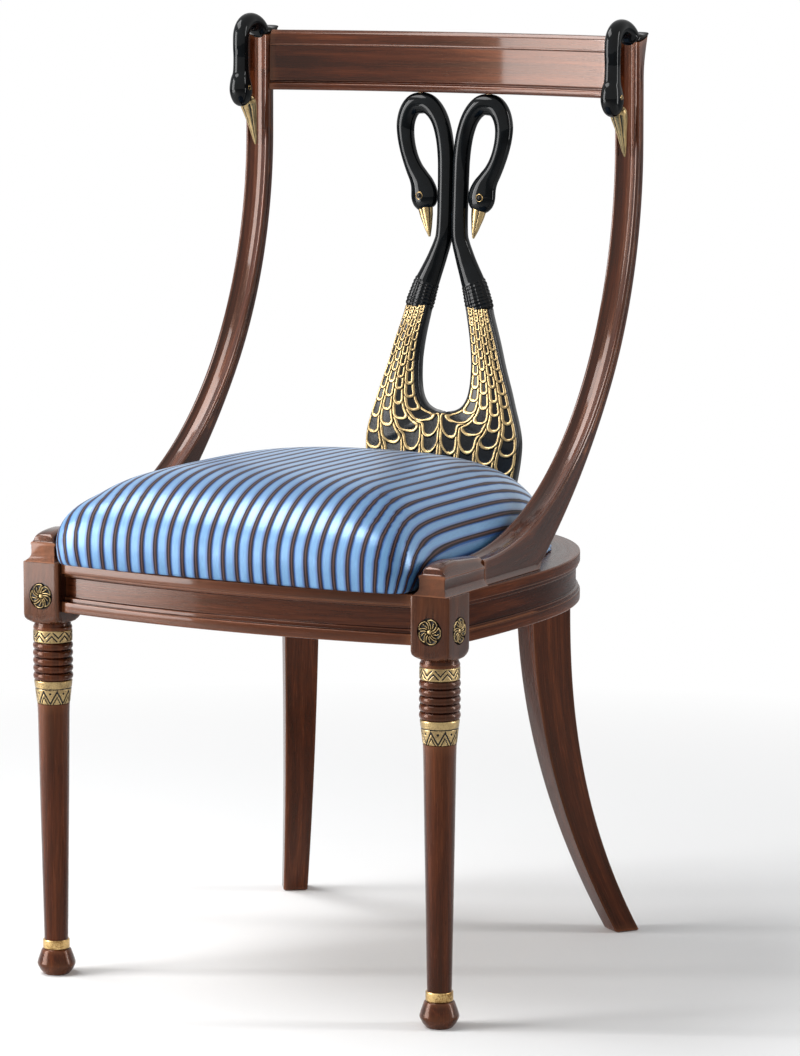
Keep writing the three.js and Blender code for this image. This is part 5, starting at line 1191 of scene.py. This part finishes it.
def makeSplat():
    for label, part, finish, slot in (
            ("swan_body", bodyShell(), feathering, "gilding"),
            ("swan_neck", neckShell(), ebonised, "ebonised_wood"),
            ("swan_beak", beakShell(), feathering, "gilding")):
        for side, group in (("right", part), ("left", mirrored(part))):
            addPiece(f"{side}_{label}", group, finish, slot, ["swan_splat"], sharp=70, weighted=False)
    x, z = splat["eyeX"], splat["eyeZ"]
    ring, bead = eyeShells((x, splatY(z) - splat["eyeOut"], z), (0.0, -1, 0.0), splat["eye"])
    addPair("swan_eye_ring", ring, gilt, "gilding", weighted=False)
    addPair("swan_eye", bead, ebonised, "ebonised_wood", weighted=False)


makeSplat()
print("splat made")

# seat pad
pad = dict(half=197.8, centreY=137.0, backReach=241.0, frontReach=180.0, backPower=2.7, frontPower=16.0,
           crownFrontPower=7.0, height=94.0, bulge=20.0, crownPower=4.0, sidePower=1.78, shrink=2.2,
           voxel=0.0042, frames=20, pressure=3.0, cap=3.0, backLimit=378.4, drape=0.62, under=-1.4,
           spread=10.0, lip=4.5, floorShare=0.35, tuckShare=0.014, squareShares=(0.86, 0.97),
           clothStart=500.0)  # stripes and ribs are counted from here, so no place is negative


def padCrown(share):
    # nought at the wall and one at the middle: (1 - share^p)^(1/q)
    return (1 - np.clip(share, 0, 1) ** pad["crownPower"]) ** (1 / pad["sidePower"])


def padRings(shrink):
    # the front corners are square at the walls and grow rounder up the crown
    turn = np.arange(240) / 240 * 2 * np.pi
    c, s = np.cos(turn), np.sin(turn)
    bottom = chair["railTop"] + pad["under"]
    share = np.cos(np.linspace(0, 0.485, 44) * np.pi)
    crown = padCrown(share)
    tuck = np.linspace(0, 1, 7)[:-1]
    scale = np.concatenate([[pad["floorShare"]], 1 - pad["tuckShare"] * (1 - tuck) ** 2, share])
    top = pad["height"] - pad["bulge"] - shrink
    rise = np.concatenate([[0], pad["bulge"] * tuck, pad["bulge"] + top * crown])
    scale = scale[:, None]
    square = smoothStep(*pad["squareShares"], scale)
    front = mix(pad["crownFrontPower"], pad["frontPower"], square)
    power = np.where(s >= 0, pad["backPower"], front)
    reach = np.where(s >= 0, pad["backReach"], pad["frontReach"]) - shrink
    x = (pad["half"] - shrink) * signedPower(c, 2 / power) * scale
    y = reach * signedPower(s, 2 / power) * scale
    return np.stack([x, pad["centreY"] + y, np.broadcast_to((bottom + rise)[:, None], x.shape)], -1)


def swellPad(piece):
    # cloth with inner pressure for a few frames, each point kept near where it began
    count = len(piece.data.vertices)
    before = np.empty(count * 3)
    piece.data.vertices.foreach_get("co", before)
    cloth = piece.modifiers.new("swell", "CLOTH")
    settings = dict(quality=4, mass=0.3, tension_stiffness=12, compression_stiffness=12,
                    bending_stiffness=0.6, use_pressure=True, uniform_pressure_force=pad["pressure"])
    for key, value in settings.items():
        setattr(cloth.settings, key, value)
    cloth.settings.effector_weights.gravity = 0
    cloth.point_cache.frame_start, cloth.point_cache.frame_end = 1, pad["frames"]
    scene = bpy.context.scene
    for step in range(1, pad["frames"] + 1):
        scene.frame_set(step)
    graph = bpy.context.evaluated_depsgraph_get()
    after = np.empty(count * 3)
    piece.evaluated_get(graph).data.vertices.foreach_get("co", after)
    piece.modifiers.remove(cloth)
    scene.frame_set(1)
    before, after = before.reshape(-1, 3), after.reshape(-1, 3)
    shift = after - before
    length = np.linalg.norm(shift, axis=1, keepdims=True)
    return before + shift * np.minimum(1, pad["cap"] * mm / (length + 1e-9))


def stripePlace(points):
    # the width of cloth from the middle line: the distance across, plus a share of the drop from the
    # ridge of the crown and the drop down the walls, as far as the surface there faces sideways
    x, y, z = abs(points[:, 0]), points[:, 1], points[:, 2]
    wallTop = chair["railTop"] + pad["under"] + pad["bulge"]
    rise = pad["height"] - pad["bulge"] - pad["shrink"]
    behind = y >= pad["centreY"]
    power = np.where(behind, pad["backPower"], pad["crownFrontPower"])
    reach = np.where(behind, pad["backReach"], pad["frontReach"]) - pad["shrink"]
    ridge = wallTop + rise * padCrown(abs(y - pad["centreY"]) / reach)
    drop = np.maximum(ridge - np.maximum(z, wallTop), 0)
    sideways = (x / pad["half"]) ** (power - 1) / pad["half"]
    endways = abs((y - pad["centreY"]) / reach) ** (power - 1) / reach
    turn = sideways ** 2 / (sideways ** 2 + endways ** 2 + 1e-12)
    wall = np.maximum(wallTop - z, 0)
    return np.sign(points[:, 0]) * (x + (pad["drape"] * drop + wall) * turn)


def makePad():
    mesh = bpy.data.meshes.new("padStart")
    part = shell(padRings(pad["shrink"]))
    quads, caps = outwardFaces(part)
    mesh.from_pydata((part["points"] * mm).tolist(), [], quads.tolist() + [cap.tolist() for cap in caps])
    piece = bpy.data.objects.new("satin_seat_pad", mesh)
    bpy.context.scene.collection.objects.link(piece)
    remesh = piece.modifiers.new("even_mesh", "REMESH")
    remesh.mode, remesh.voxel_size = "VOXEL", pad["voxel"]
    graph = bpy.context.evaluated_depsgraph_get()
    even = bpy.data.meshes.new_from_object(piece.evaluated_get(graph), depsgraph=graph)
    piece.modifiers.clear()
    piece.data = even
    places = np.empty(len(even.vertices) * 3)
    even.vertices.foreach_get("co", places)
    start = places.reshape(-1, 3) * 1000
    points = swellPad(piece) * 1000
    # soft pulls along the lower edge, where the cover is drawn under the pad
    height = points[:, 2] - chair["railTop"]
    low = smoothStep(30, 4, height)
    around = np.arctan2(points[:, 1] - pad["centreY"], points[:, 0])
    ripple = (0.5 * np.sin(around * 61 + 0.7) + 0.35 * np.sin(around * 97 + 2.1)
              + 0.3 * np.sin(around * 23 + np.cos(around * 5)))
    outward = unit(points[:, :2] - [0, pad["centreY"]])
    # behind the middle the lower edge spreads, so that the cover meets the rail
    spread = pad["spread"] * smoothStep(24, 4, height) + pad["lip"] * smoothStep(5, 0.5, height)
    spread = spread * smoothStep(0, 90, points[:, 1] - pad["centreY"])
    points[:, :2] += outward * (ripple * low + spread)[:, None]
    points[:, 0] = np.clip(points[:, 0], -pad["half"], pad["half"])
    points[:, 1] = np.minimum(points[:, 1], pad["backLimit"] + 0.45 * spread)
    points[:, 2] = np.maximum(points[:, 2], chair["railTop"] + 0.35)
    fields = dict(stripe=stripePlace(start), run=points[:, 1] - points[:, 2])
    for field, values in fields.items():
        data = even.attributes.new(field, "FLOAT", "POINT").data
        data.foreach_set("value", values + pad["clothStart"])
    points[:, 1] += legAxisY
    even.vertices.foreach_set("co", (points * mm).ravel())
    even.polygons.foreach_set("use_smooth", [True] * len(even.polygons))
    even.update()
    even.materials.clear()
    even.materials.append(satin)
    # the cloth is evened out, but not at its lower edge, which lies on the rail
    upper = piece.vertex_groups.new(name="upper")
    for index, weight in enumerate(smoothStep(3, 10, start[:, 2] - chair["railTop"])):
        upper.add([index], float(weight), "REPLACE")
    ease = piece.modifiers.new("ease", "SMOOTH")
    ease.factor, ease.iterations, ease.vertex_group = 0.5, 12, "upper"
    finer = piece.modifiers.new("finer", "SUBSURF")
    finer.levels = finer.render_levels = 1
    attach(piece, "root")
    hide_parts("seat_cushion")


makePad()
print("seat pad made")

# floor, lights and camera
stage = dict(floorSize=40.0, worldLight=0.31, floorColour=0.84, fade=(0.55, 1.5))


def whiteToCamera(tree, plain, strength):
    # rays from the camera, mirrors and glass see plain white; the rest see the dim studio
    path = put(tree, "LightPath").outputs
    seen = math2(tree, "MAXIMUM", path["Is Camera Ray"], path["Is Glossy Ray"])
    seen = math2(tree, "MAXIMUM", seen, path["Is Transmission Ray"])
    white = put(tree, "Background", Color=(1, 1, 1, 1), Strength=1.0)
    dim = put(tree, "Background", Color=plain, Strength=strength)
    both = put(tree, "MixShader", {0: seen, 1: dim.outputs[0], 2: white.outputs[0]})
    return both.outputs[0]


def makeFloor():
    # pale near the chair, where its shadow lies; the camera sees plain white further off
    bpy.ops.mesh.primitive_plane_add(size=stage["floorSize"])
    floor = bpy.context.object
    floor.name = "studio_floor"
    level = stage["floorColour"]
    material, tree, shader = startMaterial(
        "paleFloor", Base_Color=(level, level, level, 1), Roughness=0.9, Specular_IOR_Level=0.1)
    place = put(tree, "TexCoord").outputs["Object"]
    far = put(tree, "VectorMath", {0: place}, operation="LENGTH").outputs["Value"]
    far = mapRange(tree, far, *stage["fade"])
    seen = math2(tree, "MULTIPLY", far, put(tree, "LightPath").outputs["Is Camera Ray"])
    white = put(tree, "Emission", Color=(1, 1, 1, 1), Strength=1.0)
    both = put(tree, "MixShader", {0: seen, 1: shader.outputs[0], 2: white.outputs[0]})
    tree.links.new(both.outputs[0], tree.nodes["Material Output"].inputs["Surface"])
    floor.data.materials.append(material)


def makeStage():
    makeFloor()
    world = bpy.data.worlds.new("studio")
    world.use_nodes = True
    out = world.node_tree.nodes["World Output"]
    seen = whiteToCamera(world.node_tree, (0.96, 0.98, 1.0, 1), stage["worldLight"])
    world.node_tree.links.new(seen, out.inputs["Surface"])
    bpy.context.scene.world = world
    lamps = [  # name, place, aim, width, height, watts
        ("left_panel", (-1.77, -1.54, 1.2), (0, 0, 1.2), 0.82, 1.2, 36),
        ("low_panel", (-1.62, -1.68, 0.32), (0, 0, 0.32), 0.92, 0.56, 18),
        ("left_strip", (-2.0, -1.20, 1.0), (0, 0, 1.0), 0.12, 1.95, 18),
        ("top_panel", (-1.12, -0.55, 2.45), (0, 0, 0.45), 1.7, 0.8, 46),
        ("right_strip", (2.1, 0.75, 1.1), (0, 0, 0.8), 0.3, 1.8, 24)]
    for name, place, aim, width, height, watts in lamps:
        light = bpy.data.lights.new(name, "AREA")
        light.shape, light.size, light.size_y, light.energy = "RECTANGLE", width, height, watts
        lamp = bpy.data.objects.new(name, light)
        lamp.location = place
        run = np.array(aim) - np.array(place)
        flat = math.hypot(run[0], run[1])
        lamp.rotation_euler = (math.atan2(flat, -run[2]), 0, math.atan2(-run[0], run[1]))
        bpy.context.scene.collection.objects.link(lamp)


view = dict(sensor=36.0, lens=151.06, right=2.1128, forwards=3.5292, height=1.0621, down=8.42, turn=28.83)


def makeCamera():
    # it stands in front of the leg axis and looks down a little, angles in degrees
    data = bpy.data.cameras.new("view")
    data.sensor_width, data.lens = view["sensor"], view["lens"]
    camera = bpy.data.objects.new("view", data)
    camera.location = (view["right"], legAxisY * mm - view["forwards"], view["height"])
    camera.rotation_euler = (math.radians(90 - view["down"]), 0, math.radians(view["turn"]))
    bpy.context.scene.collection.objects.link(camera)
    bpy.context.scene.camera = camera


makeStage()
makeCamera()
bpy.context.scene.view_settings.view_transform = "Standard"
print("stage set")
